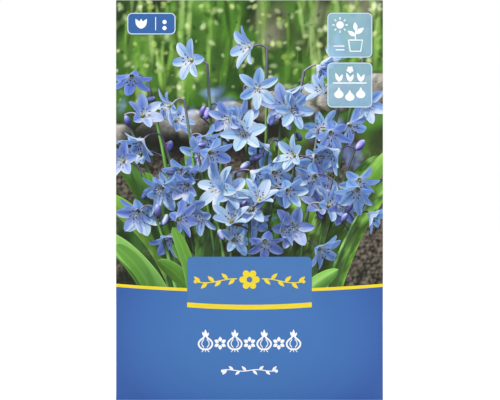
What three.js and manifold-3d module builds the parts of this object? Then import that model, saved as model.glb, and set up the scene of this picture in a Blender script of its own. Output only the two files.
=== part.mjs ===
// Carded retail packet of flower bulbs: a printed card folded over at the top, a clear vented
// film bag held under its back flap, and the loose bulbs in the bag.
//
// Lengths are in millimetres. X runs to the right as the print is read, Y from the print to the
// back, and Z up. The packet stands on the card's lower edge and the bag's flat bottom, with the
// origin on that surface, under the middle of its bounding box.

import * as THREE from "three";
import { mergeVertices } from "three/addons/utils/BufferGeometryUtils.js";
import Module from "manifold-3d";

// ---- Driving dimensions ---------------------------------------------------------------------

const CARD_WIDTH = 120;
const CARD_HEIGHT = 180;
const BOARD = 0.6; // thickness of the card
const FLAP_HEIGHT = 34; // the card's back flap, from the fold down
const FILM = 0.6; // thickness of the bag's film
const CLEARANCE = 0.3; // left between pieces that touch

const BAG_WIDTH = 118.8; // over the welded side edges
const SIDE_WELD = 2.6; // width of each welded edge
const BAG_TOP = 177; // the upper edge, inside the card's fold
const BAG_CLOSES = 122; // height at which front and back film meet
const CAVITY_CLOSES = 117; // the last height with room between the films
const BOTTOM_DEPTH = 19; // of the flat bottom, front to back
const SIDE_DEPTH = 23.5; // of the bag's sides, where bulbs press against them
const SIDE_SQUARENESS = 6; // exponent of the bag's plan outline: 2 is an ellipse
const SIDE_REACH = 3; // bulbs that come this near to a side press it out
const SIDE_CLOSING = 20; // height over which a side closes above those bulbs
const LEAST_ROOM = 0.4; // between the films inside the bag
const GRID_COLUMNS = 34; // facets of the bulging film, across and up
const GRID_ROWS = 36;
const FACET_ROOM = 0.5; // the film's extra distance from a bulb, since its facets cut corners
const NOSE_SPREAD = 3.5; // half width of the tent that the film makes over a bulb's nose
const DRAPE_CELL = 2; // spacing of the points that the film's drape is worked out on
const DRAPE_PASSES = 600;
const DRAPE_SWELL = 0.001; // how far each point stands out from the points around it

const VENT_DIAMETER = 5;
const VENT_PITCH = 30;
const VENT_COLUMNS = 3;
const VENT_ROWS = 4;
const VENT_SIDES = 12;
const LOWEST_VENT = 18;
const VENT_REACH = 40; // length of the punch, past the back film from inside the bag

const BULB_COUNT = 21;
const BULB_RADIUS = 10.8; // the largest bulb, across its waist
const BULB_SIZE_SPREAD = 0.15; // the smallest is this share under the largest
const BULB_STAGGER = 1.6; // how far the largest may lie behind the front film, in the middle
const BULB_SIDES = 14;
const BULB_SEED = 7;
const DROP_STEP = 0.25; // spacing of the places tried for a bulb as it is dropped in
const DROP_DRIFT = 0.1; // height that a bulb gives up to rest a millimetre nearer to where it fell

// Half section of a bulb, as shares of its radius: distance from the axis, height over the waist.
const BULB_PROFILE = [
  [0, -0.93],
  [0.3, -0.93], // the basal plate's flat underside
  [0.38, -0.85],
  [0.7, -0.7],
  [0.93, -0.37],
  [1, 0],
  [0.92, 0.38],
  [0.7, 0.7],
  [0.4, 0.9],
  [0.24, 1.03],
  [0.12, 1.2],
  [0, 1.37], // tip of the nose
];
// Balls that the nose stays inside: height over the waist, radius.
const NOSE_BALLS = [
  [1, 0.3],
  [1.24, 0.14],
];

const FOLD_SEGMENTS = 10;

// Each piece is shaped with the card's front face at y = 0. The finished packet is then centred.
const BAG_FRONT_Y = BOARD + CLEARANCE;
const CAVITY_FRONT_Y = BAG_FRONT_Y + FILM;
const NOSE_DEPTH = 2 * BULB_RADIUS + BULB_STAGGER + 2 * CLEARANCE; // that the noses stay within
const BAG_HALF = BAG_WIDTH / 2 - SIDE_WELD;
const CAVITY_HALF = BAG_HALF - FILM;

const X_AXIS = new THREE.Vector3(1, 0, 0);
const Y_AXIS = new THREE.Vector3(0, 1, 0);
const Z_AXIS = new THREE.Vector3(0, 0, 1);

// ---- Materials ------------------------------------------------------------------------------

const boardMaterial = new THREE.MeshStandardMaterial({ color: 0x4a7abb, roughness: 0.45 });
const filmMaterial = new THREE.MeshStandardMaterial({
  color: 0xdfe8ec,
  roughness: 0.15,
  transparent: true,
  opacity: 0.3,
});
const tunicMaterial = new THREE.MeshStandardMaterial({ color: 0x5c3848, roughness: 0.75 });

// ---- Helpers --------------------------------------------------------------------------------

const wasm = await Module();
wasm.setup();

// Repeatable random numbers from 0 to 1.
function seededRandom(seed) {
  let state = seed >>> 0;
  return () => {
    state = (state + 0x6d2b79f5) >>> 0;
    let t = state;
    t = Math.imul(t ^ (t >>> 15), t | 1);
    t ^= t + Math.imul(t ^ (t >>> 7), t | 61);
    return ((t ^ (t >>> 14)) >>> 0) / 4294967296;
  };
}

function smoothstep(t) {
  const c = Math.min(Math.max(t, 0), 1);
  return c * c * (3 - 2 * c);
}

// A closed geometry as a manifold-3d solid.
function toSolid(geometry) {
  const bare = geometry.index ? geometry.toNonIndexed() : geometry.clone();
  bare.deleteAttribute("normal");
  bare.deleteAttribute("uv");
  const merged = mergeVertices(bare, 1e-4);
  const corners = [...merged.index.array];
  const triVerts = [];
  for (let i = 0; i < corners.length; i += 3) {
    const [a, b, c] = corners.slice(i, i + 3);
    if (a !== b && b !== c && c !== a) triVerts.push(a, b, c);
  }
  return new wasm.Manifold(
    new wasm.Mesh({
      numProp: 3,
      vertProperties: merged.attributes.position.array,
      triVerts: new Uint32Array(triVerts),
    }),
  );
}

function toGeometry(solid) {
  const mesh = solid.getMesh();
  const geometry = new THREE.BufferGeometry();
  geometry.setAttribute("position", new THREE.BufferAttribute(mesh.vertProperties, 3));
  geometry.setIndex(new THREE.BufferAttribute(mesh.triVerts, 1));
  geometry.computeVertexNormals();
  return geometry;
}

// ---- Card -----------------------------------------------------------------------------------

// One sheet of board: the front panel, a fold over the bag's upper edge, and the back flap.
function cardGeometry() {
  const slotRadius = FILM + CLEARANCE;
  const foldRadius = slotRadius + BOARD;
  const foldY = foldRadius;
  const foldZ = CARD_HEIGHT - foldRadius;
  const flapZ = CARD_HEIGHT - FLAP_HEIGHT;
  const profile = new THREE.Shape();
  profile.moveTo(0, 0);
  profile.lineTo(BOARD, 0);
  profile.lineTo(BOARD, foldZ);
  profile.absarc(foldY, foldZ, slotRadius, Math.PI, 0, true);
  profile.lineTo(foldY + slotRadius, flapZ);
  profile.lineTo(foldY + foldRadius, flapZ);
  profile.lineTo(foldY + foldRadius, foldZ);
  profile.absarc(foldY, foldZ, foldRadius, 0, Math.PI, false);
  profile.closePath();
  const geometry = new THREE.ExtrudeGeometry(profile, {
    depth: CARD_WIDTH,
    bevelEnabled: false,
    curveSegments: FOLD_SEGMENTS,
  });
  geometry.applyMatrix4(new THREE.Matrix4().makeBasis(Y_AXIS, Z_AXIS, X_AXIS));
  geometry.translate(-CARD_WIDTH / 2, 0, 0);
  return geometry;
}

// ---- Bulbs ----------------------------------------------------------------------------------

// How high a ball comes to rest on the bag's bottom or on the balls placed before it.
function restingHeight(ball, placed) {
  let z = FILM + CLEARANCE + ball.radius;
  for (const other of placed) {
    const reach = ball.radius + other.radius + CLEARANCE;
    const sideways = Math.hypot(ball.x - other.x, ball.y - other.y);
    if (sideways < reach) z = Math.max(z, other.z + Math.sqrt(reach ** 2 - sideways ** 2));
  }
  return z;
}

// The hollows that a ball can't roll out of, from one side of the bag to the other. share is its
// place between the front film and the furthest back that a bulb lies.
function hollows(radius, share, placed) {
  const reach = CAVITY_HALF - CLEARANCE - radius;
  const steps = Math.round((2 * reach) / DROP_STEP);
  const places = [];
  for (let i = 0; i <= steps; i++) {
    const x = reach * ((2 * i) / steps - 1);
    const slack = 2 * (BULB_RADIUS - radius) + BULB_STAGGER * (1 - (x / BAG_HALF) ** 2);
    const y = CAVITY_FRONT_Y + CLEARANCE + radius + share * slack;
    const ball = { x, y, radius };
    places.push({ ...ball, z: restingHeight(ball, placed) });
  }
  return places.filter(({ z }, i) => {
    const left = i > 0 ? places[i - 1].z : Infinity;
    const right = i < steps ? places[i + 1].z : Infinity;
    return z <= left && z <= right && (z < left || z < right);
  });
}

// The waists of all bulbs as balls, dropped in one after another.
function bulbBalls(random) {
  const balls = [];
  while (balls.length < BULB_COUNT) {
    const radius = BULB_RADIUS * (1 - BULB_SIZE_SPREAD * random());
    const places = hollows(radius, random(), balls);
    const fell = (2 * random() - 1) * CAVITY_HALF;
    const cost = ({ x, z }) => z + DROP_DRIFT * Math.abs(x - fell);
    balls.push(places.reduce((best, place) => (cost(place) < cost(best) ? place : best)));
  }
  return balls;
}

function noseBalls(bulb) {
  return NOSE_BALLS.map(([height, radius]) => ({
    centre: new THREE.Vector3(bulb.x, bulb.y, bulb.z).addScaledVector(
      bulb.axis,
      height * bulb.radius,
    ),
    radius: radius * bulb.radius,
  }));
}

// True if a bulb's nose is clear of the film, of every other waist and of the noses turned so far.
function noseFits(bulb, bulbs) {
  return noseBalls(bulb).every(({ centre, radius }) => {
    const room = radius + CLEARANCE;
    if (centre.z < FILM + room || centre.y < CAVITY_FRONT_Y + room) return false;
    if (Math.abs(centre.x) + room > CAVITY_HALF) return false;
    const depth = plan(Math.abs(centre.x) + room, CAVITY_HALF) * NOSE_DEPTH;
    if (centre.y + room > CAVITY_FRONT_Y + depth) return false;
    return bulbs.every((other) => {
      if (other === bulb) return true;
      const waist = new THREE.Vector3(other.x, other.y, other.z);
      if (centre.distanceTo(waist) < room + other.radius) return false;
      if (!other.axis) return true;
      return noseBalls(other).every((ball) => centre.distanceTo(ball.centre) >= room + ball.radius);
    });
  });
}

function placeBulbs() {
  const random = seededRandom(BULB_SEED);
  const bulbs = bulbBalls(random);
  for (const bulb of bulbs) {
    do {
      const height = 2 * random() - 1;
      const turn = 2 * Math.PI * random();
      const flat = Math.sqrt(1 - height ** 2);
      bulb.axis = new THREE.Vector3(flat * Math.cos(turn), flat * Math.sin(turn), height);
    } while (!noseFits(bulb, bulbs));
  }
  return bulbs;
}

function bulbMesh(bulb, name) {
  const profile = BULB_PROFILE.map(
    ([out, up]) => new THREE.Vector2(out * bulb.radius, up * bulb.radius),
  );
  const mesh = new THREE.Mesh(new THREE.LatheGeometry(profile, BULB_SIDES), tunicMaterial);
  mesh.name = name;
  mesh.position.set(bulb.x, bulb.y, bulb.z);
  mesh.quaternion.setFromUnitVectors(Y_AXIS, bulb.axis);
  return mesh;
}

// ---- Bag ------------------------------------------------------------------------------------

// The bag's plan outline: 1 in the middle, 0 at half its width.
function plan(x, half) {
  return Math.max(0, 1 - Math.abs(x / half) ** SIDE_SQUARENESS) ** (1 / SIDE_SQUARENESS);
}

// Depth of a side, -1 or 1, from the cavity's front: full beside the bulbs, closing above them.
function sideDepth(side, z, bulbs) {
  const near = bulbs.filter(({ x, radius }) => side * x + radius > CAVITY_HALF - SIDE_REACH);
  const full = Math.max(...near.map((bulb) => bulb.z + bulb.radius));
  return LEAST_ROOM + (SIDE_DEPTH - LEAST_ROOM) * (1 - smoothstep((z - full) / SIDE_CLOSING));
}

// The least depth of the film at a place, so that it clears a ball, or 0 beside the ball.
function depthOver({ centre, radius }, spread, x, z) {
  const reach = radius + CLEARANCE;
  const aside = Math.max(0, Math.hypot(x - centre.x, z - centre.z) - spread);
  if (aside >= reach) return 0;
  return centre.y - CAVITY_FRONT_Y + Math.sqrt(reach ** 2 - aside ** 2) + FACET_ROOM;
}

function leastDepth(x, z, bulbs) {
  const depths = bulbs.flatMap((bulb) => {
    const waist = { centre: new THREE.Vector3(bulb.x, bulb.y, bulb.z), radius: bulb.radius };
    const noses = noseBalls(bulb).map((ball) => depthOver(ball, NOSE_SPREAD, x, z));
    return [depthOver(waist, 0, x, z), ...noses];
  });
  return Math.max(LEAST_ROOM, Math.max(...depths) / plan(x, CAVITY_HALF));
}

// The back film drawn over the bulbs, as depth(x, z) from the cavity's front. Each point of a
// square grid settles just outside the mean of its neighbours, held off by the bulbs.
function drapedFilm(bulbs) {
  const columns = Math.round((2 * CAVITY_HALF) / DRAPE_CELL);
  const rows = Math.round(BAG_CLOSES / DRAPE_CELL);
  const xAt = (i) => CAVITY_HALF * ((2 * i) / columns - 1);
  const zAt = (j) => (BAG_CLOSES * j) / rows;
  const least = [];
  const depth = [];
  const leastAt = (x, z) => {
    const atSide = Math.abs(x) === CAVITY_HALF;
    return atSide ? sideDepth(Math.sign(x), z, bulbs) : leastDepth(x, z, bulbs);
  };
  for (let i = 0; i <= columns; i++) {
    least.push([]);
    for (let j = 0; j <= rows; j++) least[i].push(leastAt(xAt(i), zAt(j)));
    least[i][0] = BOTTOM_DEPTH;
    least[i][rows] = LEAST_ROOM;
    depth.push([...least[i]]);
  }
  for (let pass = 0; pass < DRAPE_PASSES; pass++) {
    for (let i = 1; i < columns; i++) {
      for (let j = 1; j < rows; j++) {
        const sum = depth[i - 1][j] + depth[i + 1][j] + depth[i][j - 1] + depth[i][j + 1];
        depth[i][j] = Math.max(least[i][j], sum / 4 + DRAPE_SWELL);
      }
    }
  }
  return (x, z) => {
    const across = Math.min(Math.max((x / CAVITY_HALF + 1) / 2, 0), 1) * columns;
    const up = Math.min(Math.max(z / BAG_CLOSES, 0), 1) * rows;
    const i = Math.min(Math.floor(across), columns - 1);
    const j = Math.min(Math.floor(up), rows - 1);
    const low = THREE.MathUtils.lerp(depth[i][j], depth[i + 1][j], across - i);
    const high = THREE.MathUtils.lerp(depth[i][j + 1], depth[i + 1][j + 1], across - i);
    return THREE.MathUtils.lerp(low, high, up - j);
  };
}

// A closed body between a flat front and a curved back(x, z), which meet at the sides and the top.
function bulgeSolid(half, bottom, top, back) {
  const xAt = (i) => half * Math.sin((i / GRID_COLUMNS - 0.5) * Math.PI);
  const zAt = (j) => bottom + ((top - bottom) * j) / GRID_ROWS;
  const front = (i, j) => [xAt(i), CAVITY_FRONT_Y, zAt(j)];
  const rear = (i, j) => {
    const meets = i === 0 || i === GRID_COLUMNS || j === GRID_ROWS;
    return meets ? front(i, j) : [xAt(i), back(xAt(i), zAt(j)), zAt(j)];
  };
  const faces = [];
  const quad = (a, b, c, d) => faces.push(...a, ...b, ...c, ...a, ...c, ...d);

  const rim = [];
  for (let i = 0; i < GRID_COLUMNS; i++) {
    for (let j = 0; j < GRID_ROWS; j++) {
      quad(rear(i, j), rear(i, j + 1), rear(i + 1, j + 1), rear(i + 1, j));
    }
    quad(front(i, 0), rear(i, 0), rear(i + 1, 0), front(i + 1, 0));
    rim.push(front(i, 0));
  }
  for (let j = 0; j < GRID_ROWS; j++) rim.push(front(GRID_COLUMNS, j));
  for (let i = GRID_COLUMNS; i > 0; i--) rim.push(front(i, GRID_ROWS));
  for (let j = GRID_ROWS; j > 0; j--) rim.push(front(0, j));
  const middle = front(GRID_COLUMNS / 2, GRID_ROWS / 2);
  rim.forEach((corner, i) => faces.push(...middle, ...corner, ...rim[(i + 1) % rim.length]));

  const geometry = new THREE.BufferGeometry();
  geometry.setAttribute("position", new THREE.Float32BufferAttribute(faces, 3));
  return toSolid(geometry);
}

// Punched air holes through the back film.
function ventSolids() {
  const vents = [];
  for (let row = 0; row < VENT_ROWS; row++) {
    for (let column = 0; column < VENT_COLUMNS; column++) {
      const hole = new THREE.CylinderGeometry(
        VENT_DIAMETER / 2,
        VENT_DIAMETER / 2,
        VENT_REACH,
        VENT_SIDES,
      );
      const x = (column - (VENT_COLUMNS - 1) / 2) * VENT_PITCH;
      hole.translate(x, CAVITY_FRONT_Y + FILM + VENT_REACH / 2, LOWEST_VENT + row * VENT_PITCH);
      vents.push(toSolid(hole));
    }
  }
  return vents;
}

function bagGeometry(bulbs) {
  const depth = drapedFilm(bulbs);
  const outerBack = (x, z) => CAVITY_FRONT_Y + plan(x, BAG_HALF) * (depth(x, z) + FILM);
  const cavityBack = (x, z) => CAVITY_FRONT_Y + plan(x, CAVITY_HALF) * depth(x, z);
  const sheet = new THREE.BoxGeometry(BAG_WIDTH, 2 * FILM, BAG_TOP);
  sheet.translate(0, CAVITY_FRONT_Y, BAG_TOP / 2);
  const outside = bulgeSolid(BAG_HALF, 0, BAG_CLOSES, outerBack);
  const inside = bulgeSolid(CAVITY_HALF, FILM, CAVITY_CLOSES, cavityBack);
  let bag = toSolid(sheet).add(outside).subtract(inside);
  for (const vent of ventSolids()) bag = bag.subtract(vent);
  return toGeometry(bag);
}

// ---- Packet ---------------------------------------------------------------------------------

const packet = new THREE.Group();

const card = new THREE.Mesh(cardGeometry(), boardMaterial);
card.name = "card";
packet.add(card);

const bulbs = placeBulbs();
bulbs.forEach((bulb, i) => {
  packet.add(bulbMesh(bulb, `bulb_${String(i + 1).padStart(2, "0")}`));
});

const bag = new THREE.Mesh(bagGeometry(bulbs), filmMaterial);
bag.name = "bag";
packet.add(bag);

const extent = new THREE.Box3().setFromObject(packet, true);
packet.position.y = -(extent.min.y + extent.max.y) / 2;

export default packet;
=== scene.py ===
"""Looks of a carded bag of flower bulbs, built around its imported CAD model.

The card's print is thin layers of ink just off the board: a soft garden ground, a bed of blue
spring flowers that is grown and lit in depth and then pressed flat, and the printed band, badge,
tag and tiles. The bag is a fine clear film over detailed bulbs.

Sizes are millimetres until a mesh is made. X and Z are as in the frame. On the print, "up" is
the distance along the card's outer face from its lower edge, which runs on over the fold and
down the back flap, and "lift" is the height above that face.
"""

import math

import bmesh
import bpy
import numpy as np
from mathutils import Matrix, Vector
from mathutils.bvhtree import BVHTree


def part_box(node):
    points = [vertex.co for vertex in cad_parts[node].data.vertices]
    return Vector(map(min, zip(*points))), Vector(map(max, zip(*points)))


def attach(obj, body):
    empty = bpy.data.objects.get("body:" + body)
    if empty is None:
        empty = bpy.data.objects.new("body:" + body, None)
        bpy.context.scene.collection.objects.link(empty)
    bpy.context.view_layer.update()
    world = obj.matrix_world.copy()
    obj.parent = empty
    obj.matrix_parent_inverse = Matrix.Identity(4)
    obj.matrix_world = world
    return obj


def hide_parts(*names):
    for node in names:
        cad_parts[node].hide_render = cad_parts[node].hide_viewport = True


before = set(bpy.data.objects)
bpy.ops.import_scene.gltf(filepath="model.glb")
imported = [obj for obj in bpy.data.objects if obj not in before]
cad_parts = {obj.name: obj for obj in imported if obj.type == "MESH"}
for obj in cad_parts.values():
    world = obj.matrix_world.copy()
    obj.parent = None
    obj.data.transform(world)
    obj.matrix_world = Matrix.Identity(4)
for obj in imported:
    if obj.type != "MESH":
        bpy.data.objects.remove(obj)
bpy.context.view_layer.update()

MM = 0.001
BODY = "root"
SEED = 11

# ---- The card, from the frame ---------------------------------------------------------------

card_low, card_high = (np.array(corner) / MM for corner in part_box("card"))
CARD_HALF = card_high[0]
CARD_TOP = card_high[2]
FRONT_Y = card_low[1]
FOLD_RADIUS = (card_high[1] - card_low[1]) / 2
FOLD_Y = FRONT_Y + FOLD_RADIUS
FOLD_START = CARD_TOP - FOLD_RADIUS
FOLD_CREST = FOLD_START + FOLD_RADIUS * math.pi / 2
FOLD_END = FOLD_START + FOLD_RADIUS * math.pi
FLAP_HEIGHT = 34.0
CARD_END = FOLD_END + FLAP_HEIGHT - FOLD_RADIUS
TRIM = 0.02  # ink stops this far inside the card's cut edge
PRINT_HALF = CARD_HALF - TRIM

# ---- The print's layout ---------------------------------------------------------------------

PICTURE_FOOT = 44.0
STRIPE_UP = 49.9  # the yellow stripe's upper edge, in the middle
STRIPE_RISE = 2.5  # how much higher it is at the card's sides
STRIPE_WIDTH = 1.45
BADGE_HALF = 28.05
BADGE_TOP = 64.5
BADGE_FOOT = 42.9  # upper edge of the stripe along the badge's foot, in the middle
BADGE_FOOT_RISE = 1.1
BADGE_STRIPE = 2.2
BADGE_MIDDLE = 54.2  # the garland's middle
CORNER = 2.2  # radius of the corners
TAG_CENTRE = (-44.1, 169.3)
TAG_SIZE = (21.7, 9.7)
TILE_CENTRES = ((45.1, 164.1), (45.1, 141.7))
TILE_SIZE = (20.2, 20.2)
OUTLINE = 0.45  # the pale line round the tag and the tiles
BULB_ROW_UP = 26.2  # the row of marks in the band
SPRIG_UP = 13.4  # the sprig below it
FLAP_MARGIN = 4.0  # from the flap's lower edge to its stripe
FLAP_BULBS = 5
FLAP_PITCH = 15.0
FLAP_BULB, FLAP_STAR = 10.0, 3.2

# Lifts of the layers of ink
GROUND_LIFT = 0.02
BED_LIFT = 0.04
BED_RELIEF = 0.22
BAND_LIFT = 0.3
STRIPE_LIFT = 0.32
BADGE_LIFT = 0.34
MARK_LIFT = 0.37
INK = 0.02  # thickness of a layer
INK_STEP = 0.0005  # each shape of a layer lies this much over the one before


# ---- Small helpers --------------------------------------------------------------------------


def colour(hex_code):
    """A linear colour from an sRGB hex code."""
    shares = [int(hex_code[i : i + 2], 16) / 255 for i in (0, 2, 4)]
    return np.array([c / 12.92 if c < 0.04045 else ((c + 0.055) / 1.055) ** 2.4 for c in shares])


def rgba(hex_code):
    return (*colour(hex_code), 1.0)


def mix(a, b, share):
    """Between a and b, by a share that may be an array."""
    share = np.asarray(share)[..., None]
    return a * (1 - share) + b * share


def smoothstep(low, high, value):
    t = np.clip((np.asarray(value, float) - low) / (high - low), 0, 1)
    return t * t * (3 - 2 * t)


def unit(vectors):
    vectors = np.asarray(vectors, float)
    return vectors / np.maximum(np.linalg.norm(vectors, axis=-1, keepdims=True), 1e-9)


def waves(points, wavelength, rng, count=14):
    """Smooth seeded noise of about -1 to 1: a sum of plane waves in random directions."""
    total = np.zeros(points.shape[:-1])
    for _ in range(count):
        direction = unit(rng.normal(size=3)) * math.tau / (wavelength * rng.uniform(0.6, 1.6))
        total += np.sin(points @ direction + rng.uniform(0, math.tau))
    return total / math.sqrt(count) * 0.8


def bezier(points, steps):
    """Points along the Bezier curve of the control points."""
    t = np.linspace(0, 1, steps)[:, None]
    level = [np.asarray(p, float)[None] * np.ones_like(t) for p in points]
    while len(level) > 1:
        level = [a * (1 - t) + b * t for a, b in zip(level, level[1:])]
    return level[0]


def curve_through(points, steps):
    """Evenly spread points on a smooth curve through the given ones."""
    points = np.array(points, float)
    padded = np.vstack([2 * points[0] - points[1], points, 2 * points[-1] - points[-2]])
    at = np.linspace(0, len(points) - 1 - 1e-9, steps * 8)
    i = at.astype(int)
    t = (at - i)[:, None]
    a, b, c, d = (padded[i + k] for k in range(4))
    dense = b + 0.5 * t * (c - a + t * (2 * a - 5 * b + 4 * c - d + t * (3 * (b - c) + d - a)))
    lengths = np.r_[0, np.cumsum(np.linalg.norm(np.diff(dense, axis=0), axis=1))]
    even = np.linspace(0, lengths[-1], steps)
    return np.stack([np.interp(even, lengths, dense[:, k]) for k in range(points.shape[1])], -1)


def grid_faces(rows, columns, around=False):
    """Quads over a grid of rows x columns points, closed across the columns if around."""
    faces = []
    for row in range(rows - 1):
        for column in range(columns if around else columns - 1):
            after = (column + 1) % columns
            low, high = row * columns, (row + 1) * columns
            faces.append((low + column, low + after, high + after, high + column))
    return faces


def circle(first, second, sides):
    """Points round a circle of radius 1 between two directions, which may be one per row."""
    angles = np.linspace(0, math.tau, sides, endpoint=False)[:, None]
    return np.cos(angles) * first[..., None, :] + np.sin(angles) * second[..., None, :]


def tube_points(path, radii, sides, aside):
    """The rings of points of a tube along a path. aside is a direction that the path keeps off."""
    along = unit(np.gradient(path, axis=0))
    first = unit(np.cross(along, aside))
    ring = circle(first, np.cross(along, first), sides)
    return path[:, None] + ring * np.asarray(radii)[:, None, None]


def around(axis):
    """Two directions square to the axis and to each other."""
    helper = np.array([0.0, 0.0, 1.0]) if abs(axis[2]) < 0.9 else np.array([1.0, 0.0, 0.0])
    first = unit(np.cross(axis, helper))
    return first, np.cross(axis, first)


def on_card(x, up, lift):
    """Points at a lift above the card's outer face, up being measured along that face."""
    turn = np.clip((up - FOLD_START) / FOLD_RADIUS, 0, math.pi)
    down = np.maximum(up - FOLD_END, 0)
    reach = FOLD_RADIUS + lift
    y = FOLD_Y - reach * np.cos(turn)
    z = np.minimum(up, FOLD_START) + reach * np.sin(turn) - down
    return np.stack([x, y, z], -1)


# ---- Objects and meshes ---------------------------------------------------------------------


def new_object(name, data):
    made = bpy.data.objects.new(name, data)
    bpy.context.scene.collection.objects.link(made)
    return made


def make_piece(name, mesh, material, smooth=True):
    """Makes a mesh a piece that rides on the packet's body."""
    piece = new_object(name, mesh)
    mesh.materials.clear()
    mesh.materials.append(material)
    if smooth:
        mesh.shade_smooth()
    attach(piece, BODY)
    return piece


def mesh_points(mesh, measure=MM):
    """A mesh's points as an array, divided by a measure: millimetres, if it is in metres."""
    points = np.empty(len(mesh.vertices) * 3, np.float32)
    mesh.vertices.foreach_get("co", points)
    return points.reshape(-1, 3).astype(float) / measure


def ray_tree(parts):
    """A tree to cast rays at, of the points and the faces of those parts."""
    points, faces = [], []
    for part_points, part_faces in parts:
        start = len(points)
        points += [Vector(p) for p in part_points]
        faces += [tuple(start + i for i in face) for face in part_faces]
    return BVHTree.FromPolygons(points, faces)


def solid_tree(pieces):
    """A tree of the meshes of those pieces, in millimetres."""
    meshes = [piece.data for piece in pieces]
    return ray_tree((mesh_points(mesh), [p.vertices for p in mesh.polygons]) for mesh in meshes)


class Lump:
    """Points, faces and colours gathered from several parts."""

    def __init__(self):
        self.points, self.faces, self.shades = [], [], []
        self.count = 0

    def add(self, points, faces, *shades):
        """Points, their faces, and colours: each is one for all the points or one for each."""
        points = np.asarray(points, float).reshape(-1, 3)
        spread = np.ones((len(points), 1))
        self.points.append(points)
        self.shades.append(np.hstack([np.reshape(shade, (-1, 3)) * spread for shade in shades]))
        self.faces += [tuple(self.count + i for i in face) for face in faces]
        self.count += len(points)

    def gather(self):
        """All the points, and a row of colours for each."""
        return np.concatenate(self.points), np.concatenate(self.shades)

    def mesh(self, name, move=lambda points: points, haze=None):
        """A welded mesh of all parts, moved. Its points keep a haze if there is one, or else
        the places that they had before the move."""
        mesh = bpy.data.meshes.new(name)
        points, shades = self.gather()
        mesh.from_pydata((move(points) * MM).tolist(), [], self.faces)
        set_values(mesh, "ink", "FLOAT_COLOR", "color", np.c_[shades, np.ones(self.count)])
        if haze is None:
            set_values(mesh, "local", "FLOAT_VECTOR", "vector", points)
        else:
            set_values(mesh, "haze", "FLOAT", "value", haze)
        weld(mesh)
        return mesh


def set_values(mesh, name, kind, key, values):
    layer = mesh.attributes.new(name, kind, "POINT")
    layer.data.foreach_set(key, np.asarray(values, np.float32).ravel())


WELD = 1e-7  # metres; points closer than this are one


def weld(mesh):
    """Joins points that coincide, drops those in no face, and turns the faces outward."""
    joined = bmesh.new()
    joined.from_mesh(mesh)
    bmesh.ops.remove_doubles(joined, verts=joined.verts, dist=WELD)
    loose = [corner for corner in joined.verts if not corner.link_faces]
    bmesh.ops.delete(joined, geom=loose, context="VERTS")
    bmesh.ops.recalc_face_normals(joined, faces=joined.faces)
    joined.to_mesh(mesh)
    joined.free()


# ---- Node materials -------------------------------------------------------------------------


class Shader:
    """The nodes of a material, or of the world. add() makes a node and returns its outputs."""

    def __init__(self, name, world=False):
        self.owner = (bpy.data.worlds if world else bpy.data.materials).new(name)
        self.owner.use_nodes = True
        self.tree = self.owner.node_tree
        self.tree.nodes.clear()
        kind = "ShaderNodeOutputWorld" if world else "ShaderNodeOutputMaterial"
        self.surface = self.tree.nodes.new(kind).inputs["Surface"]

    def add(self, kind, inputs=None, **settings):
        node = self.tree.nodes.new("ShaderNode" + kind)
        for key, value in settings.items():
            setattr(node, key, value)
        for key, value in (inputs or {}).items():
            if isinstance(value, bpy.types.NodeSocket):
                self.tree.links.new(value, node.inputs[key])
            else:
                node.inputs[key].default_value = value
        return node.outputs

    def place(self):
        return self.add("TexCoord")["Object"]

    def stretched(self, vector, scale):
        return self.add("Mapping", {"Vector": vector, "Scale": scale})[0]

    def noise(self, vector, scale, detail=2.0, roughness=0.5):
        inputs = {"Vector": vector, "Scale": scale, "Detail": detail, "Roughness": roughness}
        return self.add("TexNoise", inputs)["Fac"]

    def math(self, operation, *values, clamp=False):
        inputs = dict(enumerate(values))
        return self.add("Math", inputs, operation=operation, use_clamp=clamp)[0]

    def ramp(self, factor, stops):
        """A colour ramp. A stop is its place and a hex code, or a grey level, or a colour."""
        outputs = self.add("ValToRGB", {"Fac": factor})
        band = outputs[0].node.color_ramp
        while len(band.elements) < len(stops):
            band.elements.new(0.5)
        for element, (place, shade) in zip(band.elements, stops):
            if isinstance(shade, str):
                shade = colour(shade)
            elif isinstance(shade, (int, float)):
                shade = (shade,) * 3
            element.position = place
            element.color = (*shade, 1.0)
        return outputs[0]

    def blend(self, factor, a, b, how="MIX"):
        return self.add("Mix", {0: factor, 6: a, 7: b}, data_type="RGBA", blend_type=how)[2]

    def bump(self, height, strength, distance):
        inputs = {"Height": height, "Strength": strength, "Distance": distance}
        return self.add("Bump", inputs)[0]

    def skin(self, inputs):
        return self.add("BsdfPrincipled", inputs)[0]

    def finish(self, surface):
        self.tree.links.new(surface, self.surface)
        return self.owner


def printed(name, colour_of):
    """Ink under a thin satin coat, with the board's faint unevenness. colour_of(shader, place)
    returns the colour's socket."""
    shader = Shader(name)
    place = shader.place()
    fibre = shader.noise(place, 2600.0)
    waviness = shader.noise(place, 45.0, 1.0)
    height = shader.math("ADD", shader.math("MULTIPLY", fibre, 0.04), waviness)
    grain = shader.ramp(fibre, [(0.25, 0.94), (0.75, 1.0)])
    ink = shader.blend(1.0, colour_of(shader, place), grain, "MULTIPLY")
    inputs = {"Base Color": ink, "Roughness": 0.36, "Specular IOR Level": 0.25,
              "Normal": shader.bump(height, 0.12, 0.0004)}
    return shader.finish(shader.skin(inputs))


def flat_ink(name, hex_code):
    """One ink, laid down a little unevenly."""

    def tint(shader, place):
        thin, full = colour(hex_code) * 0.97, colour(hex_code) * 1.02
        return shader.ramp(shader.noise(place, 110.0), [(0.3, thin), (0.7, full)])

    return printed(name, tint)


def painted_ink():
    """Takes the colour that was worked out for each point of the picture."""

    def own(shader, _place):
        return shader.add("VertexColor", layer_name="ink")["Color"]

    return printed("picture_ink", own)


GLOW_UP = 29.0  # the middle of the band's glow, and how far it reaches to the side and up
GLOW_HALVES = (62.0, 46.0)


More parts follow.
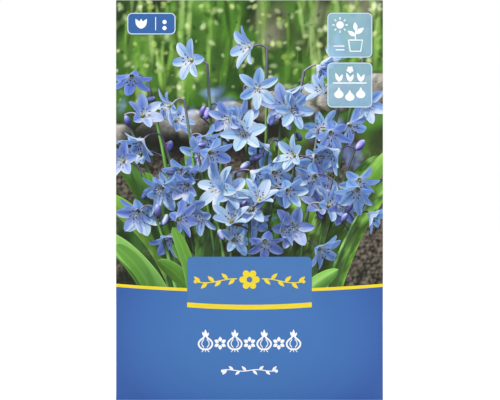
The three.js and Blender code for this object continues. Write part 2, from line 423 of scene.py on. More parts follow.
def band_ink():
    """The band's blue, lighter in a soft round glow behind the middle of its marks."""

    def glow(shader, place):
        axes = shader.add("SeparateXYZ", {"Vector": place})
        rise = shader.math("SUBTRACT", axes["Z"], GLOW_UP * MM)
        across = shader.math("MULTIPLY", axes["X"], 1 / (GLOW_HALVES[0] * MM))
        rise = shader.math("MULTIPLY", rise, 1 / (GLOW_HALVES[1] * MM))
        squares = [shader.math("MULTIPLY", side, side) for side in (across, rise)]
        reach = shader.math("SQRT", shader.math("ADD", *squares))
        stops = [(0.0, "4273B1"), (0.5, "4070AF"), (0.82, "3A67A9"), (1.0, "355CA0")]
        return shader.ramp(reach, stops)

    return printed("band_ink", glow)


TILE_COVER = 0.63


def tile_ink():
    """A pale blue wash that the picture shows through."""
    shader = Shader("tile_ink")
    cloud = shader.noise(shader.place(), 180.0)
    tone = shader.ramp(cloud, [(0.3, "97C3DC"), (0.7, "A2CCE2")])
    wash = shader.skin({"Base Color": tone, "Roughness": 0.42, "Specular IOR Level": 0.25})
    clear = shader.add("BsdfTransparent")[0]
    return shader.finish(shader.add("MixShader", {0: TILE_COVER, 1: clear, 2: wash})[0])


def board_skin():
    """Uncoated board: off-white, with pressed fibres and a few darker specks."""
    shader = Shader("board_skin")
    place = shader.place()
    fibres = shader.noise(shader.stretched(place, (1.0, 1.0, 0.25)), 1900.0, 4.0)
    cloud = shader.noise(place, 60.0)
    specks = shader.add("TexVoronoi", {"Vector": place, "Scale": 420.0})["Distance"]
    tone = shader.ramp(fibres, [(0.3, "CFC9BC"), (0.7, "E9E5DB")])
    shaded = shader.blend(shader.math("MULTIPLY", cloud, 0.35), tone, rgba("D8D0C0"))
    speck = shader.math("MULTIPLY", shader.ramp(specks, [(0.03, 1), (0.07, 0)]), 0.3)
    inputs = {"Base Color": shader.blend(speck, shaded, rgba("8E8168")), "Roughness": 0.85,
              "Specular IOR Level": 0.15, "Normal": shader.bump(fibres, 0.35, 0.0001)}
    return shader.finish(shader.skin(inputs))


def bulb_skin():
    """Dry papery tunic: its own colour, streaked along the bulb, veined and dusty."""
    shader = Shader("bulb_skin")
    own = shader.add("VertexColor", layer_name="ink")["Color"]
    local = shader.add("Attribute", attribute_name="local")["Vector"]
    streaks = shader.noise(shader.stretched(local, (1.0, 1.0, 0.16)), 2.6, 3.0, 0.65)
    dust = shader.noise(local, 0.9, 3.0)
    tones = [(0.25, (0.55, 0.5, 0.5)), (0.55, 1), (0.8, (1.45, 1.35, 1.3))]
    toned = shader.blend(1.0, own, shader.ramp(streaks, tones), "MULTIPLY")
    axes = shader.add("SeparateXYZ", {"Vector": local})
    turn = shader.math("ARCTAN2", axes["Y"], axes["X"])
    sway = shader.math("MULTIPLY", shader.noise(local, 0.22, 3.0), 34.0)
    phase = shader.math("MULTIPLY_ADD", turn, float(TUNIC_VEINS), sway)
    veins = shader.math("MULTIPLY_ADD", shader.math("SINE", phase), 0.5, 0.5)
    worn = shader.math("MULTIPLY", veins, shader.math("MULTIPLY", dust, 1.6))
    lined = shader.ramp(worn, [(0.25, 1), (0.85, (0.62, 0.58, 0.58))])
    streaked = shader.blend(1.0, toned, lined, "MULTIPLY")
    film = shader.ramp(dust, [(0.5, 0), (0.75, 0.35)])
    rise = shader.math("ADD", streaks, shader.math("MULTIPLY", dust, 0.6))
    height = shader.math("MULTIPLY_ADD", veins, -0.3, rise)
    inputs = {"Base Color": shader.blend(film, streaked, rgba("A9907C")),
              "Roughness": shader.ramp(dust, [(0.3, 0.42), (0.75, 0.75)]),
              "Specular IOR Level": 0.35, "Normal": shader.bump(height, 0.5, 0.0003)}
    return shader.finish(shader.skin(inputs))


FILM_GLOSS = [(0.0, 0.012), (0.5, 0.028), (0.7, 0.08), (0.85, 0.27), (1.0, 0.8)]  # share by angle


def film_skin():
    """Clear film: seen by its gloss, which grows towards its edges, and a trace of haze."""
    shader = Shader("film_skin")
    place = shader.place()
    lines = shader.noise(shader.stretched(place, (1.0, 1.0, 0.2)), 700.0)
    cloud = shader.noise(place, 120.0)
    height = shader.math("ADD", shader.math("MULTIPLY", lines, 0.15), cloud)
    bump = shader.bump(height, 0.25, 0.0004)
    grazing = shader.add("LayerWeight", {"Blend": 0.5, "Normal": bump})["Facing"]
    haze = shader.add("Attribute", attribute_name="haze")["Fac"]
    share = shader.math("MAXIMUM", shader.ramp(grazing, FILM_GLOSS), haze)
    clear = shader.add("BsdfTransparent", {"Color": (0.975, 0.982, 0.985, 1.0)})[0]
    tint = shader.ramp(cloud, [(0.3, (0.88, 0.91, 0.93)), (0.7, (0.96, 0.97, 0.98))])
    inputs = {"Base Color": tint, "Metallic": shader.math("SUBTRACT", 1.0, haze, clamp=True),
              "Roughness": shader.math("MULTIPLY_ADD", haze, 0.5, 0.07), "Normal": bump}
    return shader.finish(shader.add("MixShader", {0: share, 1: clear, 2: shader.skin(inputs)})[0])


# ---- Stage ----------------------------------------------------------------------------------

VIEW_WIDTH = 224.85  # what the view spans at the card's front
CARD_MIDDLE_IN_VIEW = -0.225  # the card's middle, from the middle of the view
LENS = 200.0
SENSOR = 36.0
FLOOR_HALF = 60.0  # metres
FLOOR_GLOW = 0.3
# Softboxes: name, place in metres, width and height, power
SOFTBOXES = (
    ("front_left", (-0.9, -1.2, 0.9), (1.4, 1.4), 9.5),
    ("front_right", (1.0, -1.1, 0.7), (1.2, 1.2), 5.5),
    ("back_right", (0.95, 0.95, 0.6), (0.3, 1.1), 9.0),
    ("back_left", (-0.9, 0.9, 0.5), (0.2, 0.9), 4.5),
)
WORLD_LEVELS = (0.34, 0.9)  # at the horizon and above
WORLD_BEFORE = 0.1  # what is left of it straight before the card, where its front would mirror it


def make_camera():
    data = bpy.data.cameras.new("camera")
    data.lens = LENS
    data.sensor_width = SENSOR
    data.clip_end = 100
    camera = new_object("camera", data)
    distance = VIEW_WIDTH * LENS / SENSOR
    camera.location = Vector((-CARD_MIDDLE_IN_VIEW, FRONT_Y - distance, CARD_TOP / 2)) * MM
    camera.rotation_euler = (math.pi / 2, 0, 0)
    bpy.context.scene.camera = camera


def make_floor():
    mesh = bpy.data.meshes.new("floor")
    corners = [(x * FLOOR_HALF, y * FLOOR_HALF, 0) for x, y in ((-1, -1), (1, -1), (1, 1), (-1, 1))]
    mesh.from_pydata(corners, [], [(0, 1, 2, 3)])
    floor = new_object("floor", mesh)
    shader = Shader("floor_white")
    tone = shader.ramp(shader.noise(shader.place(), 3.0), [(0.0, 0.93), (1.0, 0.96)])
    inputs = {"Base Color": tone, "Roughness": 0.9, "Specular IOR Level": 0.1,
              "Emission Color": (1, 1, 1, 1), "Emission Strength": FLOOR_GLOW}
    mesh.materials.append(shader.finish(shader.skin(inputs)))


def make_light():
    """A white studio with softboxes, dim where the card's flat front would mirror it."""
    world = Shader("studio", world=True)

    def ramped(socket, low, high, from_value, to_value):
        inputs = {"Value": socket, "From Min": low, "From Max": high,
                  "To Min": from_value, "To Max": to_value}
        return world.add("MapRange", inputs, interpolation_type="SMOOTHSTEP")[0]

    axes = world.add("SeparateXYZ", {0: world.add("TexCoord")["Generated"]})
    overhead = ramped(axes["Z"], -0.1, 0.8, *WORLD_LEVELS)
    before = ramped(axes["Y"], -1.0, -0.5, WORLD_BEFORE, 1.0)
    seen = world.add("LightPath")["Is Camera Ray"]
    shown = world.math("MAXIMUM", world.math("MULTIPLY", overhead, before), seen)
    inputs = {"Color": (1, 1, 1, 1), "Strength": shown}
    bpy.context.scene.world = world.finish(world.add("Background", inputs)[0])
    for name, place, size, power in SOFTBOXES:
        add_softbox(name, place, size, power)
    bpy.context.scene.view_settings.view_transform = "Standard"


def add_softbox(name, place, size, power):
    data = bpy.data.lights.new(name, "AREA")
    data.shape = "RECTANGLE"
    data.size, data.size_y = size
    data.energy = power
    softbox = new_object(name, data)
    softbox.location = place
    aim = Vector((0, 0, CARD_TOP / 2 * MM)) - softbox.location
    softbox.rotation_euler = aim.to_track_quat("-Z", "Y").to_euler()


# ---- Flat ink shapes ------------------------------------------------------------------------


def placed(points, centre, scale=1.0, side=1):
    """Points about a centre, scaled, and mirrored if side is -1. Scale -1 turns them half round."""
    return [(centre[0] + side * x * scale, centre[1] + up * scale) for x, up in points]


def rounded_box(centre, size, radius, steps=8):
    """The outline of a box with round corners, anticlockwise."""
    half_x = size[0] / 2 - radius
    half_up = size[1] / 2 - radius
    outline = []
    for quarter, (sx, su) in enumerate(((1, 1), (-1, 1), (-1, -1), (1, -1))):
        for step in range(steps + 1):
            angle = math.pi / 2 * (quarter + step / steps)
            x = centre[0] + sx * half_x + radius * math.cos(angle)
            up = centre[1] + su * half_up + radius * math.sin(angle)
            outline.append((x, up))
    return outline


def dot(centre, radius, steps=24):
    angles = [math.tau * step / steps for step in range(steps)]
    return placed([(radius * math.cos(a), radius * math.sin(a)) for a in angles], centre)


def leaf_shape(root, tip, width, steps=8):
    """The outline of a pointed leaf from root to tip."""
    root, tip = np.array(root, float), np.array(tip, float)
    along = tip - root
    side = np.array([-along[1], along[0]]) / np.linalg.norm(along)
    places = np.linspace(0, 1, steps + 1)
    swell = width / 2 * np.sin(math.pi * places**0.85)
    right = [root + along * t - side * w for t, w in zip(places, swell)]
    left = [root + along * t + side * w for t, w in zip(places, swell)]
    return [tuple(p) for p in right + left[-2:0:-1]]


def stroke(points, width):
    """The outline of a line of that width along the points."""
    points = np.array(points, float)
    along = unit(np.gradient(points, axis=0))
    side = np.stack([-along[:, 1], along[:, 0]], -1) * width / 2
    return [tuple(p) for p in points - side] + [tuple(p) for p in (points + side)[::-1]]


def curved_strip(half, low, high, steps=48):
    """The outline between two curves low(x) and high(x), from -half to half."""
    xs = np.linspace(-half, half, steps + 1)
    return [(x, low(x)) for x in xs] + [(x, high(x)) for x in xs[::-1]]


BLOSSOM_NOTCH = 0.62  # how far out the notches between its petals lie, of its radius
STAR_PETALS = 6
STAR_EYE, STAR_PETAL_WIDTH = 0.24, 0.56  # of its radius


def blossom(centre, radius, petals=5, steps=14):
    """A simple flower with round petals, as one outline."""
    outline = []
    for step in range(petals * steps):
        angle = math.tau * step / (petals * steps)
        swell = abs(math.sin(petals * angle / 2)) ** 0.7
        reach = radius * (BLOSSOM_NOTCH + (1 - BLOSSOM_NOTCH) * swell)
        outline.append((reach * math.sin(angle), reach * math.cos(angle)))
    return placed(outline[::-1], centre)


def star_blossom(centre, radius):
    """A flower of pointed petals round a small open eye, as outlines."""
    shapes = []
    for i in range(STAR_PETALS):
        angle = math.tau * i / STAR_PETALS
        toward = np.array([math.sin(angle), math.cos(angle)]) * radius
        root, tip = centre + toward * STAR_EYE, centre + toward
        shapes.append(leaf_shape(root, tip, radius * STAR_PETAL_WIDTH))
    return shapes


# Bulbs as marks, in heights about their middle. The right half of a filled one, foot to sprout
FILLED_BULB = ((0.12, -0.5), (0.3, -0.42), (0.42, -0.25), (0.4, -0.05), (0.26, 0.1), (0.13, 0.22),
               (0.09, 0.34))
FILLED_TIP = (0.0, 0.5)
# and the lines of a drawn one: its right half and a scale inside it, with their steps and width,
# the tips and widths of its leaves, and where its roots leave it
DRAWN_HALF = ((0.0, -0.36), (0.17, -0.34), (0.31, -0.2), (0.33, -0.04), (0.23, 0.1), (0.1, 0.2),
              (0.05, 0.28))
DRAWN_SCALE = ((0.07, -0.27), (0.17, -0.14), (0.16, 0.0), (0.07, 0.13))
DRAWN_LINES = ((DRAWN_HALF, 22, 0.085), (DRAWN_SCALE, 12, 0.045))
DRAWN_LEAVES = ((-0.16, 0.5, 0.13), (0.17, 0.46, 0.13), (0.0, 0.62, 0.14))
DRAWN_LEAVES_START = 0.25
DRAWN_ROOTS = (-0.13, 0.0, 0.13)
DRAWN_ROOT_WIDTH = 0.04


def filled_bulb(centre, height):
    """The outline of a bulb with a short sprout."""
    right, left = (placed(FILLED_BULB, centre, height, side) for side in (1, -1))
    return right + placed([FILLED_TIP], centre, height) + left[::-1]


def drawn_bulb(centre, height):
    """A sprouting bulb drawn in lines, as outlines."""
    shapes = []
    for line, steps, width in DRAWN_LINES:
        for side in (-1, 1):
            half = placed(curve_through(line, steps), centre, height, side)
            shapes.append(stroke(half, height * width))
    for x, up, width in DRAWN_LEAVES:
        ends = placed([(x * 0.1, DRAWN_LEAVES_START), (x, up)], centre, height)
        shapes.append(leaf_shape(*ends, height * width))
    for x in DRAWN_ROOTS:
        root = placed([(x * 0.7, -0.37), (x, -0.44), (x * 1.4, -0.49)], centre, height)
        shapes.append(stroke(root, height * DRAWN_ROOT_WIDTH))
    return shapes


def ink_shapes(name, outlines, lift, material, thick=True):
    """Flat shapes of ink, each a closed sheet as thick as INK, or one face if not thick."""
    shapes = bmesh.new()
    for step, outline in enumerate(outlines):
        raised = lift + step * INK_STEP
        upper = [shapes.verts.new((x, -raised, up)) for x, up in outline]
        shapes.faces.new(upper)
        if thick:
            lower = [shapes.verts.new((x, INK - raised, up)) for x, up in outline]
            shapes.faces.new(lower[::-1])
            for i in range(len(outline)):
                shapes.faces.new((upper[i - 1], lower[i - 1], lower[i], upper[i]))
    if thick:
        bmesh.ops.recalc_face_normals(shapes, faces=shapes.faces)
    else:
        face_outward(shapes)
    press(name, shapes, material, smooth=False)


def ink_frame(name, outer, inner, lift, material):
    """A flat ring of ink between two outlines with as many points each."""
    shapes = bmesh.new()
    rings = [[shapes.verts.new((x, -lift, up)) for x, up in line] for line in (outer, inner)]
    count = len(outer)
    for i in range(count):
        j = (i + 1) % count
        shapes.faces.new((rings[0][i], rings[0][j], rings[1][j], rings[1][i]))
    press(name, shapes, material, smooth=False)


def ink_sheet(name, low, high, lift, material, pitch=0.4):
    """A sheet of ink across the card between two ups, in strips that can follow the fold."""
    sheet = bmesh.new()
    strips = math.ceil((high - low) / pitch)
    ups = [low + (high - low) * i / strips for i in range(strips + 1)]
    rows = [[sheet.verts.new((x, -lift, up)) for x in (-PRINT_HALF, PRINT_HALF)] for up in ups]
    for (a, b), (d, c) in zip(rows, rows[1:]):
        sheet.faces.new((a, b, c, d))
    press(name, sheet, material)


def face_outward(sheet):
    """Turns each face of a sheet of points (x, -lift, up) away from the board."""
    sheet.normal_update()
    for face in sheet.faces:
        if face.normal.y > 0:
            face.normal_flip()


def press(name, flat, material, smooth=True):
    """Lays a bmesh of points (x, -lift, up) on the card's outer face and makes it a piece."""
    mesh = bpy.data.meshes.new(name)
    flat.to_mesh(mesh)
    flat.free()
    points = mesh_points(mesh, 1)
    laid = on_card(points[:, 0], points[:, 2], -points[:, 1]) * MM
    mesh.vertices.foreach_set("co", laid.astype(np.float32).ravel())
    mesh.update()
    make_piece(name, mesh, material, smooth)


# ---- Band, badge, tag, tiles and flap -------------------------------------------------------


def stripe_up(x):
    return STRIPE_UP + STRIPE_RISE * (x / CARD_HALF) ** 2


def badge_foot(x):
    return BADGE_FOOT + BADGE_FOOT_RISE * (x / BADGE_HALF) ** 2


def make_band(inks):
    band = curved_strip(PRINT_HALF, lambda x: TRIM, stripe_up)
    ink_shapes("band", [band], BAND_LIFT, inks["band"])
    stripe = curved_strip(PRINT_HALF, lambda x: stripe_up(x) - STRIPE_WIDTH, stripe_up)
    ink_shapes("stripe", [stripe], STRIPE_LIFT, inks["yellow"])


BADGE_HEIGHT = 30.0  # of the box that its round top corners are taken from
BADGE_STEPS = 33
BADGE_TUCK = 0.3  # how far its blue runs on under the stripe along its foot

# Its garland: a flower, and to each side a swaying stem with leaves above and below in turn
GARLAND_FLOWER, GARLAND_EYE = 4.6, 1.3
GARLAND_STEM = (5.6, 23.4)
GARLAND_DROP = 0.5
GARLAND_SWAY = (0.9, 4.2)  # up and down, and along
GARLAND_LINE = 0.45
GARLAND_LEAVES = 6
GARLAND_LEAF_START, GARLAND_LEAF_PITCH = 6.6, 3.1
GARLAND_LEAF = (2.9, 2.7, 1.7)  # across, up and width
GARLAND_BUD = (24.3, -0.9, 0.8)  # its place and radius


def garland_up(x):
    return BADGE_MIDDLE - GARLAND_DROP + GARLAND_SWAY[0] * math.sin(x / GARLAND_SWAY[1])


def make_badge(inks):
    middle_up = BADGE_TOP - BADGE_HEIGHT / 2
    box = rounded_box((0, middle_up), (2 * BADGE_HALF, BADGE_HEIGHT), CORNER)
    top = [p for p in box if p[1] > middle_up]
    xs = np.linspace(-BADGE_HALF, BADGE_HALF, BADGE_STEPS)
    foot = [(x, badge_foot(x) - BADGE_TUCK) for x in xs]
    ink_shapes("badge", [top + foot], BADGE_LIFT, inks["badge"])
    sash = curved_strip(BADGE_HALF, lambda x: badge_foot(x) - BADGE_STRIPE, badge_foot)
    ink_shapes("badge_stripe", [sash], MARK_LIFT, inks["yellow"])
    middle = (0.0, BADGE_MIDDLE)
    garland = [blossom(middle, GARLAND_FLOWER, 6)]
    for side in (-1, 1):
        garland += garland_side(side)
    ink_shapes("badge_flower", garland, MARK_LIFT, inks["yellow"])
    eye = [dot(middle, GARLAND_EYE)]
    ink_shapes("badge_flower_eye", eye, MARK_LIFT + 2 * INK, inks["badge"])


def garland_side(side):
    """The stem, leaves and last bud of one side of the garland."""
    stem = [(side * x, garland_up(x)) for x in np.linspace(*GARLAND_STEM, 24)]
    shapes = [stroke(stem, GARLAND_LINE)]
    across, up, width = GARLAND_LEAF
    for i in range(GARLAND_LEAVES):
        x = GARLAND_LEAF_START + i * GARLAND_LEAF_PITCH
        root = (side * x, garland_up(x))
        tip = (root[0] + side * across, root[1] + up * (1 if i % 2 else -1))
        shapes.append(leaf_shape(root, tip, width))
    across, up, radius = GARLAND_BUD
    return shapes + [dot((side * across, BADGE_MIDDLE + up), radius)]


# The tag's marks, about its middle: a tulip of three leaves, a bar and two dots
TULIP_FOOT = (-4.6, -2.3)
TULIP_TIPS = (-2.6, 0, 2.6)
TULIP_HEIGHT, TULIP_LEAF = 4.5, 2.2
TAG_BAR = ((1.9, 0.0), (0.35, 6.0), 0.12)
TAG_DOTS = ((5.9, -2.0), (5.9, 0.75))
TAG_DOT = 0.95


def make_tag(inks):
    outer, inner = outlined(TAG_CENTRE, TAG_SIZE)
    ink_shapes("tag_edge", [outer], BADGE_LIFT, inks["pale"])
    ink_shapes("tag", [inner], MARK_LIFT, inks["tag"])
    marks = [rounded_box(*TAG_BAR, steps=2)]
    for lean in TULIP_TIPS:
        tip = (TULIP_FOOT[0] + lean, TULIP_FOOT[1] + TULIP_HEIGHT)
        marks.append(leaf_shape(TULIP_FOOT, tip, TULIP_LEAF))
    marks += [dot(centre, TAG_DOT) for centre in TAG_DOTS]
    marks = [placed(mark, TAG_CENTRE) for mark in marks]
    ink_shapes("tag_marks", marks, MARK_LIFT + INK, inks["white"])


def outlined(centre, size):
    """The outer and inner edge of the pale line round a tag or tile."""
    inner = (size[0] - 2 * OUTLINE, size[1] - 2 * OUTLINE)
    return rounded_box(centre, size, CORNER), rounded_box(centre, inner, CORNER - OUTLINE)


def make_tiles(inks):
    for number, (centre, marks) in enumerate(zip(TILE_CENTRES, (sun_marks(), bulb_marks())), 1):
        outer, inner = outlined(centre, TILE_SIZE)
        ink_frame(f"tile_{number}_edge", outer, inner, BADGE_LIFT, inks["pale"])
        ink_shapes(f"tile_{number}", [inner], BADGE_LIFT, inks["tile"], thick=False)
        marks = [placed(mark, centre) for mark in marks]
        ink_shapes(f"tile_{number}_marks", marks, MARK_LIFT, inks["white"])


# The tiles' marks, about a tile's middle. The first has a sun over a sprouting pot
SUN_CENTRE = (-4.4, 4.6)
SUN_RADIUS = 1.7
SUN_RAYS = 8
SUN_RAY = (2.4, 3.5)  # from the sun's middle
POT = ((-0.6, -2.2), (0.2, -7.2), (4.9, -7.2), (5.7, -2.2), (-0.6, -2.2))
POT_STEM = ((2.5, -2.2), (2.5, 0.8), (2.7, 2.2))
POT_LEAVES = (((2.6, 0.6), (6.4, 3.4), 2.2), ((2.5, -0.4), (-1.0, 2.0), 2.0),
              ((2.7, 1.8), (2.2, 6.0), 2.0))
GROUND_LINES = (((-7.4, -4.9), (-2.4, -4.9)), ((-6.4, -6.6), (-2.4, -6.6)))
# and the second three bulbs with their leaves, planted under a line of soil, and a blossom
SOIL_LINE = ((-7.6, 0.9), (7.6, 0.9))
PLANTED = ((-4.9, -3.4), (0.0, -4.6), (4.9, -3.4))
PLANTED_HEIGHT = 5.0
SHOOT_UP, SHOOT_WIDTH = 1.4, 1.5
SHOOT_TIPS = ((-1.6, 5.6), (1.7, 4.9))
TILE_BLOSSOM = ((0.1, 6.9), 1.6)
LINE, SOIL_WIDTH, POT_WIDTH = 0.5, 0.55, 0.6  # widths of lines


def sun_marks():
    marks = [dot(SUN_CENTRE, SUN_RADIUS)]
    for ray in range(SUN_RAYS):
        angle = math.tau * ray / SUN_RAYS
        ends = [(reach * math.cos(angle), reach * math.sin(angle)) for reach in SUN_RAY]
        marks.append(stroke(placed(ends, SUN_CENTRE), LINE))
    marks += [stroke(POT, POT_WIDTH), stroke(POT_STEM, LINE)]
    marks += [leaf_shape(*leaf) for leaf in POT_LEAVES]
    return marks + [stroke(line, LINE) for line in GROUND_LINES]


def bulb_marks():
    marks = [stroke(SOIL_LINE, SOIL_WIDTH)]
    for x, up in PLANTED:
        marks.append(filled_bulb((x, up), PLANTED_HEIGHT))
        for lean, tip_up in SHOOT_TIPS:
            marks.append(leaf_shape((x, SHOOT_UP), (x + lean, tip_up), SHOOT_WIDTH))
    return marks + [blossom(*TILE_BLOSSOM)]


BAND_MARKS = 7
BAND_PITCH = 6.6
BAND_BULB, BAND_STAR = 9.2, 3.0
STAR_DROP = 0.6  # how far the blossoms' middles lie below the bulbs'
SPRIG_HALF = 11.5
SPRIG_SWAY = (0.35, 2.1)  # up and down, and along
SPRIG_LINE = 0.42
SPRIG_LEAVES = 8
SPRIG_PITCH = 2.9
SPRIG_LEAF = (2.1, 2.0, 1.25)  # across, up and width
SPRIG_BUD = (12.1, -0.3, 0.75)  # its place and radius


def sprig_up(x):
    return SPRIG_UP + SPRIG_SWAY[0] * math.sin(x / SPRIG_SWAY[1])


def make_ornament(inks):
    """White marks in the band: a row of bulbs and blossoms, and a small sprig below it."""
    marks = []
    for i in range(BAND_MARKS):
        x = (i - (BAND_MARKS - 1) / 2) * BAND_PITCH
        if i % 2:
            marks += star_blossom((x, BULB_ROW_UP - STAR_DROP), BAND_STAR)
        else:
            marks += drawn_bulb((x, BULB_ROW_UP), BAND_BULB)
    stem = [(x, sprig_up(x)) for x in np.linspace(-SPRIG_HALF, SPRIG_HALF, 40)]
    marks.append(stroke(stem, SPRIG_LINE))
    across, up, width = SPRIG_LEAF
    for i in range(SPRIG_LEAVES):
        x = (i - (SPRIG_LEAVES - 1) / 2) * SPRIG_PITCH
        tip = (x + math.copysign(across, x), SPRIG_UP + up * (1 if i % 2 else -1))
        marks.append(leaf_shape((x, sprig_up(x)), tip, width))
    across, up, radius = SPRIG_BUD
    marks += [dot((side * across, SPRIG_UP + up), radius) for side in (-1, 1)]
    ink_shapes("ornament", marks, MARK_LIFT, inks["white"])


def make_flap(inks):
    """The back of the fold and the flap: band blue, a stripe, and a row of bulbs and blossoms."""
    ink_sheet("flap", FOLD_CREST, CARD_END, GROUND_LIFT, inks["flap"])
    foot = CARD_END - FLAP_MARGIN
    stripe = [(-PRINT_HALF, foot - STRIPE_WIDTH), (PRINT_HALF, foot - STRIPE_WIDTH),
              (PRINT_HALF, foot), (-PRINT_HALF, foot)]
    ink_shapes("flap_stripe", [stripe], BED_LIFT, inks["yellow"])
    marks = []
    for i in range(FLAP_BULBS):
        x = (i - (FLAP_BULBS - 1) / 2) * FLAP_PITCH
        marks += drawn_bulb((x, 0), FLAP_BULB)
        if i:
            marks += star_blossom((x - FLAP_PITCH / 2, -STAR_DROP), FLAP_STAR)
    upright = [placed(mark, (0, (FOLD_END + foot) / 2), -1) for mark in marks]
    ink_shapes("flap_marks", upright, BED_LIFT, inks["white"])


# ---- The printed picture: plants grown in depth ---------------------------------------------

# In the bed a point is (x, depth, up): depth runs away from the viewer. The bed is a Lump for
# each layer, whose points have two colours: the light that they reflect, and what they let
# through.
VIEW = np.array([0.0, -1.0, 0.0])
SUN = unit([-0.45, -0.45, 0.77])
SUN_RAYS_CAST = 3
SUN_SPREAD = 0.06
SUNLIGHT = colour("FFF4DC") * 0.66
SKY_RAYS_CAST = 15
SKY_SPAN = 1.15  # from straight overhead, at 0, past the horizon, at 1
SKY_LEAN = 0.35  # towards the viewer
SKY_LEVELS = (0.085, 0.12)  # of each ray, and what is added to it straight overhead
SKYLIGHT = colour("DCE8FF")
RAY_REACH = 70.0
RAY_START = 0.12

PETAL_REFLECTS = 0.88
PETAL_TRANSMITS = np.array([0.4, 0.5, 0.72])
LEAF_REFLECTS = 0.6
LEAF_TRANSMITS = 0.4
AMBIENT = 0.014  # light that reaches even the deepest points
PETAL_AMBIENT = np.array([0.104, 0.126, 0.162])  # and among the petals, which light each other
SCATTERED = 0.06  # what comes through thin petals and leaves there
GLOSS, GLOSS_POWER = 0.22, 22
LEAF_GLOSS = GLOSS * 0.3
CONTRAST = 1.35  # of the print
PETAL_CONTRAST = 0.88  # and of its petals
MIDDLE_TONE = 0.18
BRIGHTNESS = np.array([0.2126, 0.7152, 0.0722])
SHOULDER = 2.2  # how sharply the brightest ink levels off towards white
# Each layer's ambient light, gloss and contrast
LAYERS = {
    "stems": (AMBIENT, GLOSS, CONTRAST),
    "petals": (PETAL_AMBIENT, GLOSS, PETAL_CONTRAST),
    "stamens": (AMBIENT, GLOSS, CONTRAST),
    "buds": (AMBIENT, GLOSS, CONTRAST),
    "leaves": (AMBIENT, LEAF_GLOSS, CONTRAST),
}


def blade(centre, across, half_width, cup, u):
    """A leaf or petal: points along a centre line, each row u across it, curved by cup."""
    along = unit(np.gradient(centre, axis=0))
    across = unit(across - along * np.sum(along * across, -1, keepdims=True))
    inner = np.cross(along, across)
    wide = half_width[:, None] * u
    rise = cup * half_width[:, None] * u**2
    return centre[:, None] + across[:, None] * wide[..., None] + inner[:, None] * rise[..., None]


def add_round(part, points, shades, through):
    """Adds rings of points, with one colour for each ring or one for all."""
    rows, sides = points.shape[:2]
    shades = np.asarray(shades)[..., None, :] * np.ones(points.shape)
    part.add(points, grid_faces(rows, sides, around=True), shades, shades * through)


def tube(part, path, radii, shades, through=0.15, sides=7):
    add_round(part, tube_points(path, radii, sides, VIEW), shades, through)


def ellipsoid(part, centre, axis, half_long, half_wide, shades, through=0.1, rows=7, sides=8):
    """A closed oval along its axis."""
    turn = np.linspace(0, math.pi, rows)
    middle = centre - np.cos(turn)[:, None] * half_long * axis
    reach = half_wide * np.sin(turn) + 0.01
    points = middle[:, None] + circle(*around(axis), sides)[None] * reach[:, None, None]
    add_round(part, points, shades, through)


PETAL_U = np.array([-1, -0.86, -0.62, -0.38, -0.2, -0.09, 0, 0.09, 0.2, 0.38, 0.62, 0.86, 1.0])
PETAL_ROWS = 15
PALE = colour("D8E4F3")
SKY = colour("93B9E3")
PERIWINKLE = colour("889FDA")
VIOLET = colour("5A50BE")
RIB = colour("3F78CE")
NAVY = colour("232A5C")
FILAMENT = colour("EEF1F4")
PISTIL = colour("BFD063")
BUD_FOOT = colour("8FA3A8")
PETALS = 6
PETAL_LENGTHS, PETAL_WIDTHS = (0.96, 1.0), (0.22, 0.185)  # of every other petal, in sizes
PETAL_CUP = 0.28
PETAL_START = 0.25  # a petal's root lies this far from the flower's axis
STAMEN_STEPS = 5


def petal_shades(v, tint):
    """The colours of a petal's grid: v along it; tint from sky blue 0 to violet 1."""
    u = PETAL_U[None]
    v = v[:, None]
    body = mix(SKY, PERIWINKLE, min(tint * 1.15, 1.0))
    body = mix(body, VIOLET, max(tint - 0.6, 0.0))
    shades = mix(PALE, body, smoothstep(-0.05, 0.5, v + 0 * u))
    edge = smoothstep(0.45, 1.0, np.abs(u) + 0 * v)
    shades = mix(shades, PALE, edge * 0.32)
    ribs = np.exp(-((u / 0.15) ** 2)) * smoothstep(0.02, 0.25, v) * smoothstep(1.0, 0.8, v)
    shades = mix(shades, mix(RIB, VIOLET, tint * 0.5), ribs * 0.8)
    veins = (0.5 + 0.5 * np.cos(u * math.pi * 5.2)) * (1 - np.abs(u)) * smoothstep(0.1, 0.5, v)
    return mix(shades, RIB, veins * 0.26)


def petal(part, root, axis, outward, length, half_width, angles, tint, twist):
    """One petal: it leaves root at angles[0] from the flower's axis and ends at angles[1]."""
    v = np.linspace(0, 1, PETAL_ROWS)
    lean = angles[0] + (angles[1] - angles[0]) * v**0.8
    heading = np.cos(lean)[:, None] * axis + np.sin(lean)[:, None] * outward
    centre = root + np.cumsum(heading, axis=0) * length / PETAL_ROWS
    across = np.cross(axis, outward) + twist * v[:, None] * axis
    point = np.clip((v - 0.45) / 0.55, 0, 1)
    swell = (0.34 + 0.66 * smoothstep(0, 0.5, v)) * (1 - point**2.2) ** 0.62
    points = blade(centre, across, half_width * swell + 0.02, PETAL_CUP, PETAL_U[None])
    shades = petal_shades(v, tint)
    faces = grid_faces(PETAL_ROWS, len(PETAL_U))
    part.add(points, faces, shades * PETAL_REFLECTS, shades * PETAL_TRANSMITS)


def spoke(axis, turn):
    """The direction square to an axis that is turned that far about it."""
    first, second = around(axis)
    return math.cos(turn) * first + math.sin(turn) * second


